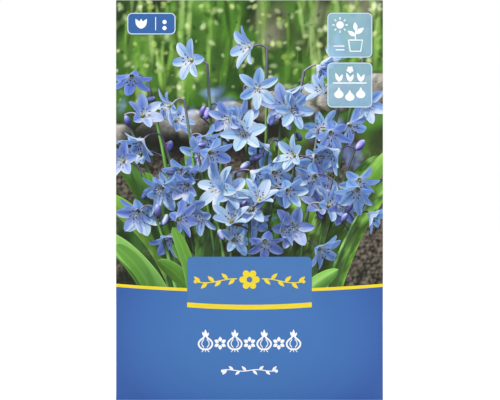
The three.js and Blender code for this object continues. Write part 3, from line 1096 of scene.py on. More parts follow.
def flower(bed, root, axis, size, openness, tint, rng):
    """A six-petalled star with its stamens, facing along axis from root."""
    spin = rng.uniform(0, math.tau)
    for i in range(PETALS):
        outward = spoke(axis, spin + math.tau * i / PETALS + rng.uniform(-0.09, 0.09))
        start = 0.25 + 0.35 * openness
        end = start + 0.75 * openness + rng.uniform(-0.15, 0.25)
        length = size * rng.uniform(0.93, 1.05) * PETAL_LENGTHS[i % 2]
        petal(bed["petals"], root + outward * PETAL_START, axis, outward, length,
              size * PETAL_WIDTHS[i % 2], (start, end), tint + rng.uniform(-0.08, 0.08),
              rng.uniform(-0.5, 0.5))
    stamens = bed["stamens"]
    for i in range(PETALS):
        outward = spoke(axis, spin + math.tau * (i + 0.5) / PETALS)
        stamen(stamens, root, axis, outward, size, rng)
    ellipsoid(stamens, root + axis * size * 0.13, axis, size * 0.12, size * 0.075, PISTIL, 0.25)


def stamen(part, root, axis, outward, size, rng):
    """A pale thread with a dark anther at its tip."""
    tip = root + axis * size * 0.46 + outward * size * rng.uniform(0.13, 0.2)
    path = bezier([root, root + axis * size * 0.3 + outward * 0.4, tip], STAMEN_STEPS)
    tube(part, path, np.linspace(0.2, 0.09, STAMEN_STEPS), FILAMENT, 0.3, 5)
    ellipsoid(part, tip, unit(outward + axis * 0.4), 0.62, 0.27, NAVY, 0.0, 5, 6)


def bud(part, root, axis, size, tint, rows=9):
    """A closed bud: an oval, greenish at its foot and violet above."""
    shades = mix(BUD_FOOT, mix(PERIWINKLE, VIOLET, tint), smoothstep(0, 0.5, np.linspace(0, 1, rows)))
    ellipsoid(part, root + axis * size, axis, size, size * 0.52, shades, 0.2, rows, 10)


LEAF_U = np.array([-1, -0.9, -0.7, -0.48, -0.26, -0.1, 0, 0.1, 0.26, 0.48, 0.7, 0.9, 1.0])
GREEN = colour("2E7820")
YOUNG = colour("64A328")
DEEP = colour("1B4318")
LEAF_RIB = colour("8FBF55")
LEAF_MARGIN = colour("A6CB6C")
LEAF_GLOWS = (colour("6FB42A"), colour("B4D957"))  # through an old leaf and a young one


def leaf_shades(v, youth):
    """The colours of a leaf's grid, v along it."""
    u = LEAF_U[None] + 0 * v[:, None]
    v = v[:, None] + 0 * u
    shades = mix(GREEN, YOUNG, np.clip(youth + 0.35 * (v - 0.5), 0, 1))
    shades = mix(shades, DEEP, 0.35 * smoothstep(0.35, 0.0, v))
    veins = 0.5 + 0.5 * np.cos(u * math.pi * 7)
    shades = shades * (1 - 0.1 * veins[..., None])
    shades = mix(shades, LEAF_RIB, 0.25 * np.exp(-((u / 0.09) ** 2)))
    return mix(shades, LEAF_MARGIN, 0.35 * smoothstep(0.82, 1.0, np.abs(u)))


def leaf(part, controls, half_width, facing, channel, youth, rows=34):
    """A strap leaf along a curve, folded along its middle, with a blunt boat-shaped tip."""
    v = np.linspace(0, 1, rows)
    point = np.clip((v - 0.62) / 0.38, 0, 1)
    swell = (0.55 + 0.45 * smoothstep(0, 0.45, v)) * np.sqrt(np.clip(1 - point**2.6, 0, 1))
    across = np.broadcast_to(facing, (rows, 3))
    points = blade(bezier(controls, rows), across, half_width * swell + 0.03, channel, LEAF_U[None])
    glow = mix(*LEAF_GLOWS, np.clip(youth, 0, 1))
    part.add(points, grid_faces(rows, len(LEAF_U)), leaf_shades(v, youth) * LEAF_REFLECTS,
             glow * LEAF_TRANSMITS)


SCAPES = 27
SCAPE_SPAN = 57.0  # the outermost tops lie this far from the card's middle
SCAPE_LOW, SCAPE_HIGH = 84.0, 160.0
SCAPE_TILT = 0.35  # how much deeper in the bed a scape stands for each millimetre of its top
SCAPE_AT_FRONT = 90.0  # the top of one that stands at no depth
SCAPE_FOOT = 34.0
SCAPE_ROWS = 26
BUD_ROWS = (18, SCAPE_ROWS)  # where on it buds may leave it
FLOWER_STEP = 4  # rows from flower to flower
STALK_STEPS, BUD_STALK_STEPS = 7, 5
GOLDEN = 0.618034
# Leaves behind the scapes and before them: how many, their heights and depths, and the greatest
# youth among them
BACK_LEAVES = (30, (36, 84), (2, 30), 1.0)
FRONT_LEAVES = (7, (22, 44), (-34, -28), 0.6)
LEAVES_HALF = 54.0  # how far to the side they start
LEAF_FOOT = 36.0
STEM_GREEN, STEM_TOP = colour("5E9A3A"), colour("5D5470")
FLOWER_STALK, BUD_STALK = colour("6A5F86"), colour("5A4F7A")


def grow_bed():
    """The bed: an even drift of scapes with flowers and buds, among strap leaves."""
    rng = np.random.default_rng(SEED)
    bed = {layer: Lump() for layer in LAYERS}
    for i in range(SCAPES):
        top_x = SCAPE_SPAN * (2 * ((0.5 + i * GOLDEN) % 1) - 1)
        top_up = SCAPE_LOW + (SCAPE_HIGH - SCAPE_LOW) * ((i + 0.5) / SCAPES) ** 1.25
        depth = (top_up - SCAPE_AT_FRONT) * SCAPE_TILT + rng.uniform(-4, 4)
        scape(bed, top_x, top_up, depth, rng)
    for count, heights, depths, youth in (BACK_LEAVES, FRONT_LEAVES):
        for _ in range(count):
            leaning_leaf(bed["leaves"], heights, depths, youth, rng)
    return bed


def leaning_leaf(part, heights, depths, youth, rng):
    """A leaf that rises and leans away from the middle, within those limits."""
    base_x = rng.uniform(-LEAVES_HALF, LEAVES_HALF)
    lean = base_x * rng.uniform(0.2, 0.9) + rng.uniform(-14, 14)
    height = rng.uniform(*heights)
    foot = np.array([base_x * 0.8, rng.uniform(*depths), LEAF_FOOT])
    tip = foot + np.array([lean, rng.uniform(-8, 8), height])
    knee = foot + np.array([lean * rng.uniform(-0.1, 0.35), 0, height * rng.uniform(0.5, 0.75)])
    side = unit([1.0, rng.uniform(-0.8, 0.8), -lean / height])
    leaf(part, [foot, knee, tip], rng.uniform(2.8, 5.4), side, rng.uniform(-0.55, 0.55),
         rng.uniform(0, youth))


def scape(bed, top_x, top_up, depth, rng):
    """A stem with its flowers and buds on short stalks."""
    foot = np.array([top_x * 0.6 + rng.uniform(-6, 6), depth + 4, SCAPE_FOOT])
    top = np.array([top_x, depth, top_up])
    bend = np.array([foot[0] + (top_x - foot[0]) * 0.25, depth + 3, (SCAPE_FOOT + top_up) / 2])
    path = bezier([foot, bend, top], SCAPE_ROWS)
    fade = smoothstep(0.75, 1.0, np.linspace(0, 1, SCAPE_ROWS))
    tube(bed["stems"], path, np.linspace(1.15, 0.6, SCAPE_ROWS), mix(STEM_GREEN, STEM_TOP, fade))
    for i in range(rng.integers(2, 4)):
        side = -1 if (i + int(top_x)) % 2 else 1
        stalked_flower(bed, path[SCAPE_ROWS - 1 - i * FLOWER_STEP], side, rng)
    for _ in range(rng.integers(0, 3)):
        stalked_bud(bed, path[rng.integers(*BUD_ROWS)], rng)


def stalked_flower(bed, node, side, rng):
    """A flower on a stalk that leaves the stem at a node, to one side and forward."""
    reach = rng.uniform(4.0, 8.0)
    root = node + np.array([side * reach, rng.uniform(-5, -1), rng.uniform(-2.0, 4.5)])
    axis = unit([side * rng.uniform(0.0, 1.0), -rng.uniform(0.35, 1.0), rng.uniform(-0.9, 0.6)])
    stalk = bezier([node, node + np.array([side * reach * 0.5, 0, 2.5]), root], STALK_STEPS)
    tube(bed["stems"], stalk, np.full(STALK_STEPS, 0.4), FLOWER_STALK)
    flower(bed, root, axis, rng.uniform(10.0, 13.4), rng.uniform(0.6, 1.25), rng.uniform(0, 1), rng)


def stalked_bud(bed, node, rng):
    """A bud on a short stalk near a stem's top."""
    root = node + np.array([rng.uniform(-5, 5), rng.uniform(-3, 0), rng.uniform(0, 5)])
    stalk = bezier([node, (node + root) / 2 + [0, 0, 0.8], root], BUD_STALK_STEPS)
    tube(bed["stems"], stalk, np.full(BUD_STALK_STEPS, 0.36), BUD_STALK)
    axis = unit([rng.uniform(-0.7, 0.7), -0.3, rng.uniform(-0.8, 0.9)])
    bud(bed["buds"], root, axis, rng.uniform(2.3, 3.4), rng.uniform(0.4, 1))


def sky_lights():
    """Directions to the light, and the colour of the light from each."""
    rng = np.random.default_rng(SEED)
    lights = []
    for _ in range(SUN_RAYS_CAST):
        lights.append((unit(SUN + rng.normal(0, SUN_SPREAD, 3)), SUNLIGHT))
    golden_turn = math.pi * (3 - math.sqrt(5))
    for i in range(SKY_RAYS_CAST):
        height = 1 - SKY_SPAN * (i + 0.5) / SKY_RAYS_CAST
        flat = math.sqrt(1 - height**2)
        turn = golden_turn * i
        toward = unit([flat * math.cos(turn), flat * math.sin(turn) - SKY_LEAN, height])
        lights.append((toward, SKYLIGHT * (SKY_LEVELS[0] + SKY_LEVELS[1] * max(height, 0))))
    return lights


def with_contrast(inks, contrast=CONTRAST):
    """Darker darks and lighter lights about the middle tone, each colour keeping its hue."""
    tone = np.maximum(inks @ BRIGHTNESS, 1e-4)
    return inks * ((tone / MIDDLE_TONE) ** (contrast - 1))[..., None]


def light_layer(part, tree, ambient, gloss, contrast):
    """The ink of each point of a layer, from the light that reaches it past all the plants."""
    points, shades = part.gather()
    normals = point_normals(points, part.faces)
    normals[normals[:, 1] > 0] *= -1
    lit, through, glint = (np.zeros(points.shape) + level for level in (ambient, SCATTERED, 0))
    for toward, shine in sky_lights():
        seen = sunlit(tree, points, toward)
        slope = normals @ toward
        lit += np.outer(seen * np.maximum(slope, 0), shine)
        through += np.outer(seen * np.maximum(-slope, 0), shine)
        mirrored = np.maximum(normals @ unit(toward + VIEW), 0)
        glint += np.outer(seen * mirrored**GLOSS_POWER, shine)
    inks = shades[:, :3] * lit + shades[:, 3:] * through + glint * gloss
    inks = with_contrast(inks, contrast)
    return inks / (1 + inks**SHOULDER) ** (1 / SHOULDER)


def sunlit(tree, points, toward):
    """1 for each point that the light from a direction reaches, else 0."""
    ray = Vector(toward)
    starts = points + np.asarray(toward) * RAY_START
    cast = tree.ray_cast
    return np.array([cast(Vector(p), ray, RAY_REACH)[0] is None for p in starts], float)


def point_normals(points, faces):
    """The mean of the normals of the quads around each point."""
    corners = np.array(faces)
    normals = np.cross(points[corners[:, 2]] - points[corners[:, 0]],
                       points[corners[:, 3]] - points[corners[:, 1]])
    sums = np.zeros_like(points)
    for k in range(4):
        np.add.at(sums, corners[:, k], normals)
    return unit(sums)


def inked(points, faces, inks):
    """A bmesh of points (x, -lift, up), each with its colour as ink."""
    flat = bmesh.new()
    ink = flat.verts.layers.float_color.new("ink")
    corners = []
    for point, shade in zip(points, inks):
        corner = flat.verts.new(point)
        corner[ink] = (*shade, 1)
        corners.append(corner)
    for face in faces:
        flat.faces.new([corners[i] for i in face])
    return flat


def press_bed(bed, material):
    """Presses each layer flat on the card, trimmed to the picture, with its colours as ink."""
    depths = np.concatenate([part.gather()[0][:, 1] for part in bed.values()])
    near, far = depths.min(), depths.max()
    tree = ray_tree((part.gather()[0], part.faces) for part in bed.values())
    for layer, part in bed.items():
        points = part.gather()[0]
        points[:, 1] = -(BED_LIFT + BED_RELIEF * (far - points[:, 1]) / (far - near))
        flat = inked(points, part.faces, light_layer(part, tree, *LAYERS[layer]))
        trim(flat)
        face_outward(flat)
        press(f"picture_{layer}", flat, material)


def trim(flat):
    """Cuts off what lies beyond the picture's edges."""
    for middle, outward in (((PRINT_HALF, 0, 0), (1, 0, 0)), ((-PRINT_HALF, 0, 0), (-1, 0, 0)),
                            ((0, 0, FOLD_CREST), (0, 0, 1)), ((0, 0, PICTURE_FOOT), (0, 0, -1))):
        geometry = flat.verts[:] + flat.edges[:] + flat.faces[:]
        bmesh.ops.bisect_plane(flat, geom=geometry, plane_co=middle, plane_no=outward,
                               clear_outer=True)


# ---- The printed picture's ground: soft shapes painted on a grid of points ------------------

GROUND_PITCH = 0.6
GROUND_TONE = 0.84
FOLD_ROWS = 16
GROUND_LOW, GROUND_HIGH = colour("26331A"), colour("46702A")
LAWN = ("2C521B", "41791F", "5A9030", "33601F", "6E9F3E", "1C3012")
BLADES = ("7FB23F", "63982F", "94BE5A", "2B4A18", "A9C777")
MEADOW = ("8E8B74", "6F6E55", "A39F8A", "4E5236")
LIGHTS = ("A9C176", "8FB259", "BFCF9C", "4F7D2A", "27421A")
SPARKS = ("CFDB93", "B9D06A", "DDE3B8")
SHADOWS = ("10160C", "18220F", "0C110A", "1D2C15")
SOIL = ("4A3F31", "3A3126", "5C5041", "2A241C", "1D1812")
GRIT = ("6F6454", "8D8371", "3A3228", "A49B8A", "241F19", "544A3C", "C2BAAB")
UNDERGROWTH = ("1C3214", "2A5219", "14240F", "376D22")
FAR_BLOOMS = ("7E97D8", "93B4E8", "5F63B8")
EARTH = (colour("2B251D"), colour("94897A"))
STONES = (colour("8F8578"), colour("A9A8A2"))
STONE_DARK, STONE_LIGHT, STONE_SHADOW = colour("2A251E"), colour("DAD6CE"), colour("1A1712")
PITS, MOSS = colour("453D32"), colour("4C5B2A")

# Spots scattered over the ground: how many, the corners between which they lie, their sizes,
# colours and strengths, how soft they are, how tall for their width if they aren't round, and
# how far they lean if they don't lie anyhow
LEFT, RIGHT = -CARD_HALF - 2, CARD_HALF + 4
BEHIND_COBBLES = (
    (200, (LEFT, 106), (RIGHT, 184), (3, 9), LAWN, (0.3, 0.85), 0.5),
    (18, (0, 160), (RIGHT, 184), (3, 7), MEADOW, (0.3, 0.7), 0.6),
    (110, (LEFT, 136), (RIGHT, 184), (0.5, 1.5), BLADES, (0.25, 0.75), 0.5, 9.0, 0.2),
    (380, (LEFT, 132), (RIGHT, 182), (0.6, 2.0), LIGHTS, (0.2, 0.7), 0.6, 0.6),
    (90, (LEFT, 134), (RIGHT, 182), (0.7, 1.5), SPARKS, (0.25, 0.65), 0.5, 0.75),
    (90, (LEFT, 64), (RIGHT, 118), (4, 10), SOIL, (0.5, 0.9), 0.5),
)
OVER_COBBLES = (40, (LEFT, 66), (2, 118), (5, 12), SHADOWS, (0.5, 0.95), 0.5)
OVER_EARTH = (
    (420, (LEFT, 44), (RIGHT, 108), (0.4, 1.3), GRIT, (0.2, 0.65), 0.6, 0.6),
    (70, (LEFT, 44), (20, 90), (3, 8), UNDERGROWTH, (0.4, 0.8), 0.5),
    (40, (-58, 84), (58, 140), (0.9, 2.4), FAR_BLOOMS, (0.25, 0.6), 0.5, 2.0),
)
# An edging of cobbles runs across the picture behind the flowers
COBBLES = 8
COBBLE_PITCH = 16.5
COBBLE_LOW, COBBLE_RISE = 116.0, 0.2


class Canvas:
    """The picture's ground: colours on a grid of points, painted over layer by layer."""

    def __init__(self, xs, ups, rng):
        self.x, self.up = np.meshgrid(xs, ups)
        self.place = np.stack([self.x, self.up, 0 * self.x], -1)
        self.rng = rng
        self.inks = mix(GROUND_LOW, GROUND_HIGH, smoothstep(70, 170, self.up))

    def waves(self, wavelength, stretch=1.0):
        return waves(self.place * (1, stretch, 1), wavelength, self.rng)

    def paint(self, shade, share):
        self.inks = mix(self.inks, shade, share)

    def from_middle(self, centre, halves, turn):
        """How far each point lies from an oval's middle: 1 at its edge."""
        dx, dup = self.x - centre[0], self.up - centre[1]
        a = (dx * math.cos(turn) + dup * math.sin(turn)) / halves[0]
        b = (dup * math.cos(turn) - dx * math.sin(turn)) / halves[1]
        return np.hypot(a, b)

    def scatter(self, count, low, high, sizes, shades, strengths, soft, stretch=1.0, lean=math.pi):
        """Soft ovals between two corners."""
        for _ in range(count):
            centre = self.rng.uniform(low, high)
            size = self.rng.uniform(*sizes)
            turn = self.rng.uniform(-lean, lean)
            reach = self.from_middle(centre, (size, size * stretch), turn)
            shade = colour(shades[self.rng.integers(len(shades))])
            share = 1 - smoothstep(1 - soft, 1 + soft, reach)
            self.paint(shade, share * self.rng.uniform(*strengths))

    def stone(self, centre, halves, turn):
        """A rounded stone, lit from the upper left, pitted and streaked."""
        warp = 0.06 * self.waves(12) + 0.025 * self.waves(4)
        reach = self.from_middle(centre, halves, turn) + warp
        dx, dup = self.x - centre[0], self.up - centre[1]
        slope = (0.75 * dup - 0.45 * dx) / min(halves) * np.clip(reach, 0, 1)
        grain = 0.5 * self.waves(5) + 0.35 * self.waves(2)
        grain += 0.3 * self.waves(1.3, 2.2)
        light = np.clip(0.5 + 0.5 * slope + 0.2 * grain, 0, 1)
        tone = mix(*STONES, self.rng.uniform(0, 1))
        shade = mix(STONE_DARK, tone, smoothstep(0.0, 0.66, light))
        shade = mix(shade, STONE_LIGHT, smoothstep(0.6, 1.0, light) * 0.85)
        shade = mix(shade, PITS, smoothstep(0.7, 1.5, self.waves(3.4, 1.6)) * 0.6)
        shade = mix(shade, MOSS, smoothstep(0.3, 1.0, self.waves(9) - dup / halves[1]) * 0.55)
        self.paint(STONE_SHADOW, (1 - smoothstep(0.9, 1.28, reach)) * 0.75)
        self.paint(shade, 1 - smoothstep(0.9, 1.07, reach))

    def cobbles(self):
        for i in range(COBBLES):
            x = (i - (COBBLES - 1) / 2) * COBBLE_PITCH + self.rng.uniform(-1.5, 1.5)
            up = COBBLE_LOW + COBBLE_RISE * (x + CARD_HALF) + self.rng.uniform(-2, 2)
            halves = self.rng.uniform((7.5, 6.5), (11, 9.5))
            self.stone((x, up), halves, self.rng.uniform(-0.5, 0.5))

    def earth(self):
        """Crumbly earth, over all that is below the cobbles."""
        crumbs = 0.5 * self.waves(2.6, 1.7) + 0.6 * self.waves(1.3)
        clods = smoothstep(-0.9, 1.3, crumbs + 0.4 * self.waves(6))
        self.paint(mix(*EARTH, clods), 0.75 * smoothstep(116, 100, self.up))


def make_ground(material):
    """The ground on its grid, which is finer over the fold."""
    xs = np.linspace(-PRINT_HALF, PRINT_HALF, round(2 * CARD_HALF / GROUND_PITCH) + 1)
    rows = round((FOLD_START - PICTURE_FOOT) / GROUND_PITCH)
    ups = np.r_[np.linspace(PICTURE_FOOT, FOLD_START, rows, endpoint=False),
                np.linspace(FOLD_START, FOLD_CREST, FOLD_ROWS)]
    canvas = Canvas(xs, ups, np.random.default_rng(SEED + 1))
    for spots in BEHIND_COBBLES:
        canvas.scatter(*spots)
    canvas.cobbles()
    canvas.scatter(*OVER_COBBLES)
    canvas.earth()
    for spots in OVER_EARTH:
        canvas.scatter(*spots)
    mottle = 0.05 * canvas.waves(1.6) + 0.05 * canvas.waves(5)
    inks = with_contrast(canvas.inks * (1 + mottle[..., None]) * GROUND_TONE)
    points = np.stack([canvas.x, np.full(canvas.x.shape, -GROUND_LIFT), canvas.up], -1)
    flat = inked(points.reshape(-1, 3), grid_faces(len(ups), len(xs)), inks.reshape(-1, 3))
    press("picture_ground", flat, material)


# ---- Bulbs ----------------------------------------------------------------------------------

TIP = 1.37  # the nose's tip above a bulb's waist, in radii
FOOT = 0.93  # the basal plate below it
# Height and distance from the axis, in radii, from the basal plate's middle to the tip
BULB_PROFILE = ((-0.9, 0.0), (-0.92, 0.16), (-0.93, 0.31), (-0.86, 0.4), (-0.74, 0.62),
                (-0.4, 0.9), (0.0, 0.985), (0.38, 0.91), (0.68, 0.69), (0.88, 0.43), (1.02, 0.25),
                (1.18, 0.13), (1.3, 0.07), (TIP, 0.0))
BULB_ROWS, BULB_COLUMNS = 56, 84
BULB_CURVE = curve_through(BULB_PROFILE, BULB_ROWS)
TUNIC_VEINS = 52
TUNIC_DARK, TUNIC, TUNIC_PALE = colour("2B141B"), colour("5F3038"), colour("93655A")
INNER_SCALE, NOSE_DRY = colour("D3B4AC"), colour("B89A70")
PLATE, ROOT_DRY = colour("86694A"), colour("BCA27A")
CRUMB_DARK, CRUMB_PALE = colour("2E241B"), colour("6B573F")

FLAKE_ROWS, FLAKE_COLUMNS = 12, 14
FLAKE_LIFT = 0.35  # a shred of tunic lifts no more than this
FLAKE_SKINS = (0.012, 0.02)  # its two faces over the bulb's, in radii

ROOTS_HALF = 52.5  # no root reaches further to the side
ROOTS_START = 0.925  # this far below the waist, in radii
ROOT_CLEAR = 0.9  # from a root's start to where its room is measured
ROOT_LONGEST = 8.0
ROOT_RADII = np.linspace(0.17, 0.06, 7)


def bulb_place(node):
    """A bulb's waist centre, its axis and its radius, from its CAD solid."""
    points = mesh_points(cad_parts[node].data)
    middle = points.mean(0)
    tip = points[np.argmax(np.linalg.norm(points - middle, axis=1))]
    axis = unit(tip - middle)
    reach = points @ axis
    radius = (reach.max() - reach.min()) / (TIP + FOOT)
    return tip - axis * TIP * radius, axis, radius


def tunic_marks(place, turn, rng):
    """The tunic's lumps, ripple, ribs and furrows, where it covers the bulb, and its scars."""
    lumps = waves(place, 1.6, rng)
    ripple = waves(place * (1, 1, 0.35), 0.34, rng)
    ribs = np.sin(turn * rng.integers(38, 50) + 2.2 * waves(place, 0.9, rng))
    furrows = np.zeros_like(lumps)
    for start in rng.uniform(0, math.tau, 4):
        away = turn - start - 0.25 * waves(place, 1.2, rng)
        away = np.abs((away + math.pi) % math.tau - math.pi)
        furrows += np.exp(-((away / 0.07) ** 2))
    ragged = 0.1 * waves(place, 0.22, rng) + 0.05 * waves(place, 0.1, rng)
    torn = rng.uniform(0.35, 0.9) + 0.25 * waves(place * (1, 1, 0), 0.9, rng) + ragged
    covered = smoothstep(0.03, -0.015, place[..., 2] - torn)
    scar = waves(place * (1, 1, 0.6), 0.8, rng) + 1.6 * ragged - rng.uniform(0.3, 1.0)
    return lumps, ripple, ribs, furrows, covered, smoothstep(0.72, 0.78, scar) * covered


def bulb_body(radius, rng):
    """The bulb's skin about the origin, its axis along +Z: points and their colours."""
    out = BULB_CURVE[:, 1:]
    turns = np.linspace(0, math.tau, BULB_COLUMNS, endpoint=False)
    turn, height = np.meshgrid(turns, BULB_CURVE[:, 0])
    place = np.stack([np.cos(turn), np.sin(turn), height], -1)
    marks = tunic_marks(place, turn, rng)
    lumps, ripple, ribs, furrows, covered, bare = marks
    nose = smoothstep(0.72, 1.1, height)
    body = smoothstep(-0.9, -0.6, height) * (1 - 0.7 * nose)
    relief = body * (0.022 * lumps + 0.009 * ripple + 0.005 * ribs - 0.024 * furrows)
    relief += 0.016 * (covered - bare) - 0.012
    relief += nose * 0.03 * np.sin(turn * 9 + 5 * waves(place, 1.0, rng)) * out
    reach = np.maximum(out + relief * smoothstep(0.0, 0.25, out), 0.0)[..., None]
    points = place * np.concatenate([reach, reach, np.ones_like(reach)], -1) * radius
    return points, bulb_shades(place, marks, nose, body, rng)


def bulb_shades(place, marks, nose, body, rng):
    """Wine-brown tunic, paler where it is torn or worn, over a straw nose and basal plate; painted
    shade darkens its furrows.
    """
    _, ripple, ribs, furrows, covered, bare = marks
    share = np.clip(0.5 + 0.4 * waves(place, 0.8, rng) + 0.18 * ribs, 0, 1)
    shade = mix(TUNIC_DARK, TUNIC, share)
    blotches = smoothstep(0.25, 1.1, waves(place * (1, 1, 0.5), 0.5, rng))
    shade = mix(shade, TUNIC_PALE, blotches * 0.35)
    inner = mix(INNER_SCALE, TUNIC_PALE, np.clip(0.4 + 0.5 * ripple, 0, 1))
    shade = mix(shade, inner, np.clip((1 - covered) * (1 - nose) * 0.75 + bare * 0.85, 0, 1))
    shade = mix(shade, NOSE_DRY, nose * np.clip(0.75 + 0.3 * ribs, 0, 1))
    plate = smoothstep(-0.8, -0.9, place[..., 2])
    shade = mix(shade, PLATE * (0.8 + 0.2 * ribs[..., None]), plate * 0.9)
    # painted shade: the tunic's colour is darkened along its furrows, where the skin dips
    return shade * (1 - 0.45 * np.clip(furrows, 0, 1)[..., None] * body[..., None])


def bulb_flake(radius, rng):
    """A papery shred of tunic, held along one side and lifting off at the other."""
    middle = rng.uniform(-0.35, 0.65)
    start = rng.uniform(0, math.tau)
    across, along = np.meshgrid(np.linspace(0, 1, FLAKE_COLUMNS), np.linspace(-1, 1, FLAKE_ROWS))
    ragged = waves(np.stack([along * 2, across * 2, 0 * along], -1), 1.1, rng)
    span = rng.uniform(0.3, 0.7) * (1 - 0.35 * along**2)
    height = middle + along * rng.uniform(0.2, 0.38) * (1 - 0.4 * across) + 0.02 * ragged
    turn = start + across * span + 0.03 * ragged
    lift = rng.uniform(0.03, 0.085) * across**1.7 * (1 + 0.3 * ragged)
    out = np.interp(height, *BULB_CURVE.T) + np.minimum(lift, FLAKE_LIFT / radius)
    reaches = [(out + over) * radius for over in FLAKE_SKINS]
    skins = [np.stack([np.cos(turn) * reach, np.sin(turn) * reach, height * radius], -1)
             for reach in reaches]
    return skins, mix(TUNIC, TUNIC_PALE, np.clip(0.45 + 0.4 * ragged + 0.25 * across, 0, 1))


def shell_faces(rows, columns):
    """The faces of a closed thin sheet: two grids of rows x columns points, one on the other."""
    count = rows * columns
    under = [tuple(reversed(face)) for face in grid_faces(rows, columns)]
    over = [tuple(count + i for i in face) for face in grid_faces(rows, columns)]
    rim = list(range(columns)) + [r * columns + columns - 1 for r in range(1, rows)]
    rim += [count - 1 - c for c in range(1, columns)] + [r * columns for r in range(rows - 2, 0, -1)]
    sides = [(a, b, b + count, a + count) for a, b in zip(rim, rim[1:] + rim[:1])]
    return under + over + sides


def add_root(lump, centre, spin, radius, solids, rng):
    """A dry root under the basal plate, no longer than the room before it allows."""
    turn = rng.uniform(0, math.tau)
    out, below = np.array([math.cos(turn), math.sin(turn), 0]), np.array([0, 0, -1])
    start = out * radius * rng.uniform(0.05, 0.33) + below * ROOTS_START * radius
    heading = unit(out * rng.uniform(0.2, 1.4) + below)
    toward = heading @ spin
    ahead = centre + (start + heading * ROOT_CLEAR) @ spin
    room = solids.ray_cast(Vector(ahead), Vector(toward), ROOT_LONGEST)[3]
    room = ROOT_LONGEST if room is None else room
    length = min(rng.uniform(1.5, 5.5), 0.8 * room + 0.3, side_room(centre + start @ spin, toward))
    droop = np.array([rng.normal(), rng.normal(), 0]) * 0.25 * length
    path = bezier([start - heading * 0.3, start + heading * length * 0.6,
                   start + heading * length + droop * 0.6], len(ROOT_RADII))
    add_thread(lump, path, ROOT_RADII, ROOT_DRY * rng.uniform(0.55, 1.0))


def side_room(point, toward):
    """How far a root may run from a point before it comes near the bag's side."""
    outward = max(toward[0] * math.copysign(1, point[0]), 0.01)
    return max((ROOTS_HALF - abs(point[0])) / outward, 0.3)


def add_thread(lump, path, radii, shade, sides=5):
    points = tube_points(path, radii, sides, unit([0.3, 0.5, 0.8]))
    ends = [tuple(range(sides))[::-1], tuple(range((len(path) - 1) * sides, len(path) * sides))]
    lump.add(points, grid_faces(len(path), sides, around=True) + ends, shade)


def make_bulb(node, solids, material):
    centre, axis, radius = bulb_place(node)
    rng = np.random.default_rng(SEED + int(node[-2:]))
    spin = np.stack([*around(axis), axis])
    lump = Lump()
    points, shades = bulb_body(radius, rng)
    lump.add(points, grid_faces(BULB_ROWS, BULB_COLUMNS, around=True), shades)
    for _ in range(rng.integers(3, 6)):
        skins, shades = bulb_flake(radius, rng)
        lump.add(skins, shell_faces(FLAKE_ROWS, FLAKE_COLUMNS), [shades, shades])
    for _ in range(rng.integers(14, 24)):
        add_root(lump, centre, spin, radius, solids, rng)
    mesh = lump.mesh(node, lambda points: centre + points @ spin)
    piece = make_piece(node + "_fine", mesh, material)
    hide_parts(node)
    return piece


# ---- Scraps and crumbs ----------------------------------------------------------------------

SCRAP_TRIES = 560
SCRAP_PITCH = 4.2  # at least this far from one scrap's middle to the next
SCRAP_HALF = 54.0  # how far to the side their middles lie
SCRAP_ROWS = 9
SCRAP_THICK = 0.12
SCRAP_CLEAR = 0.4  # how far a scrap keeps from the bulbs and the film
CRUMB_RINGS, CRUMB_SIDES = 5, 7


def scrap(rng):
    """A shed bit of tunic about the origin, ragged and curled up: two skins and their colours."""
    size = rng.uniform(1.3, 3.4)
    steps = np.linspace(-1, 1, SCRAP_ROWS)
    across, long = np.meshgrid(steps, steps)
    rough = np.stack([long, across, 0 * long], -1)
    ragged = waves(rough, 0.9, rng)
    curl = rng.uniform(0.5, 1.7) / size
    reach = size * (1 + 0.25 * ragged) * np.sqrt(1 - 0.4 * (long * across) ** 2)
    along, beside = long * reach * rng.uniform(1.0, 1.6), across * reach * rng.uniform(0.5, 0.9)
    flat = np.sin(beside * curl) / curl
    rise = (1 - np.cos(beside * curl)) / curl + 0.12 * ragged
    spin = rng.uniform(0, math.tau)
    x = along * math.cos(spin) - flat * math.sin(spin)
    y = along * math.sin(spin) + flat * math.cos(spin)
    skins = [np.stack([x, y, rise - rise.min() + level], -1) for level in (0.0, SCRAP_THICK)]
    share = np.clip(0.5 + 0.5 * waves(rough, 0.5, rng), 0, 1)
    return skins, mix(TUNIC, mix(TUNIC_PALE, NOSE_DRY, rng.uniform(0, 0.5)), share)


def crumb(centre, radius, rng):
    """An uneven grain: its points, faces and colour."""
    turns = np.linspace(0, math.tau, CRUMB_SIDES, endpoint=False)
    turn, tilt = np.meshgrid(turns, np.linspace(0.25, math.pi - 0.25, CRUMB_RINGS))
    out = np.stack([np.sin(tilt) * np.cos(turn), np.sin(tilt) * np.sin(turn), np.cos(tilt)], -1)
    points = centre + out * radius * (0.85 + 0.15 * waves(out, 1.0, rng))[..., None]
    last = CRUMB_RINGS * CRUMB_SIDES - 1
    ends = [tuple(range(CRUMB_SIDES)), tuple(range(last, last - CRUMB_SIDES, -1))]
    faces = grid_faces(CRUMB_RINGS, CRUMB_SIDES, around=True) + ends
    return points, faces, mix(CRUMB_DARK, CRUMB_PALE, rng.uniform(0, 1))


def is_free(point, tree, shell):
    """Whether a point in the bag is clear of the bulbs and of the film around it."""
    if tree.find_nearest(Vector(point), SCRAP_CLEAR)[0] is not None:
        return False
    back_y = reach_back(shell, point[0], point[2])
    return FILM_FRONT_Y + SCRAP_CLEAR < point[1] < back_y - 3 * SCRAP_CLEAR


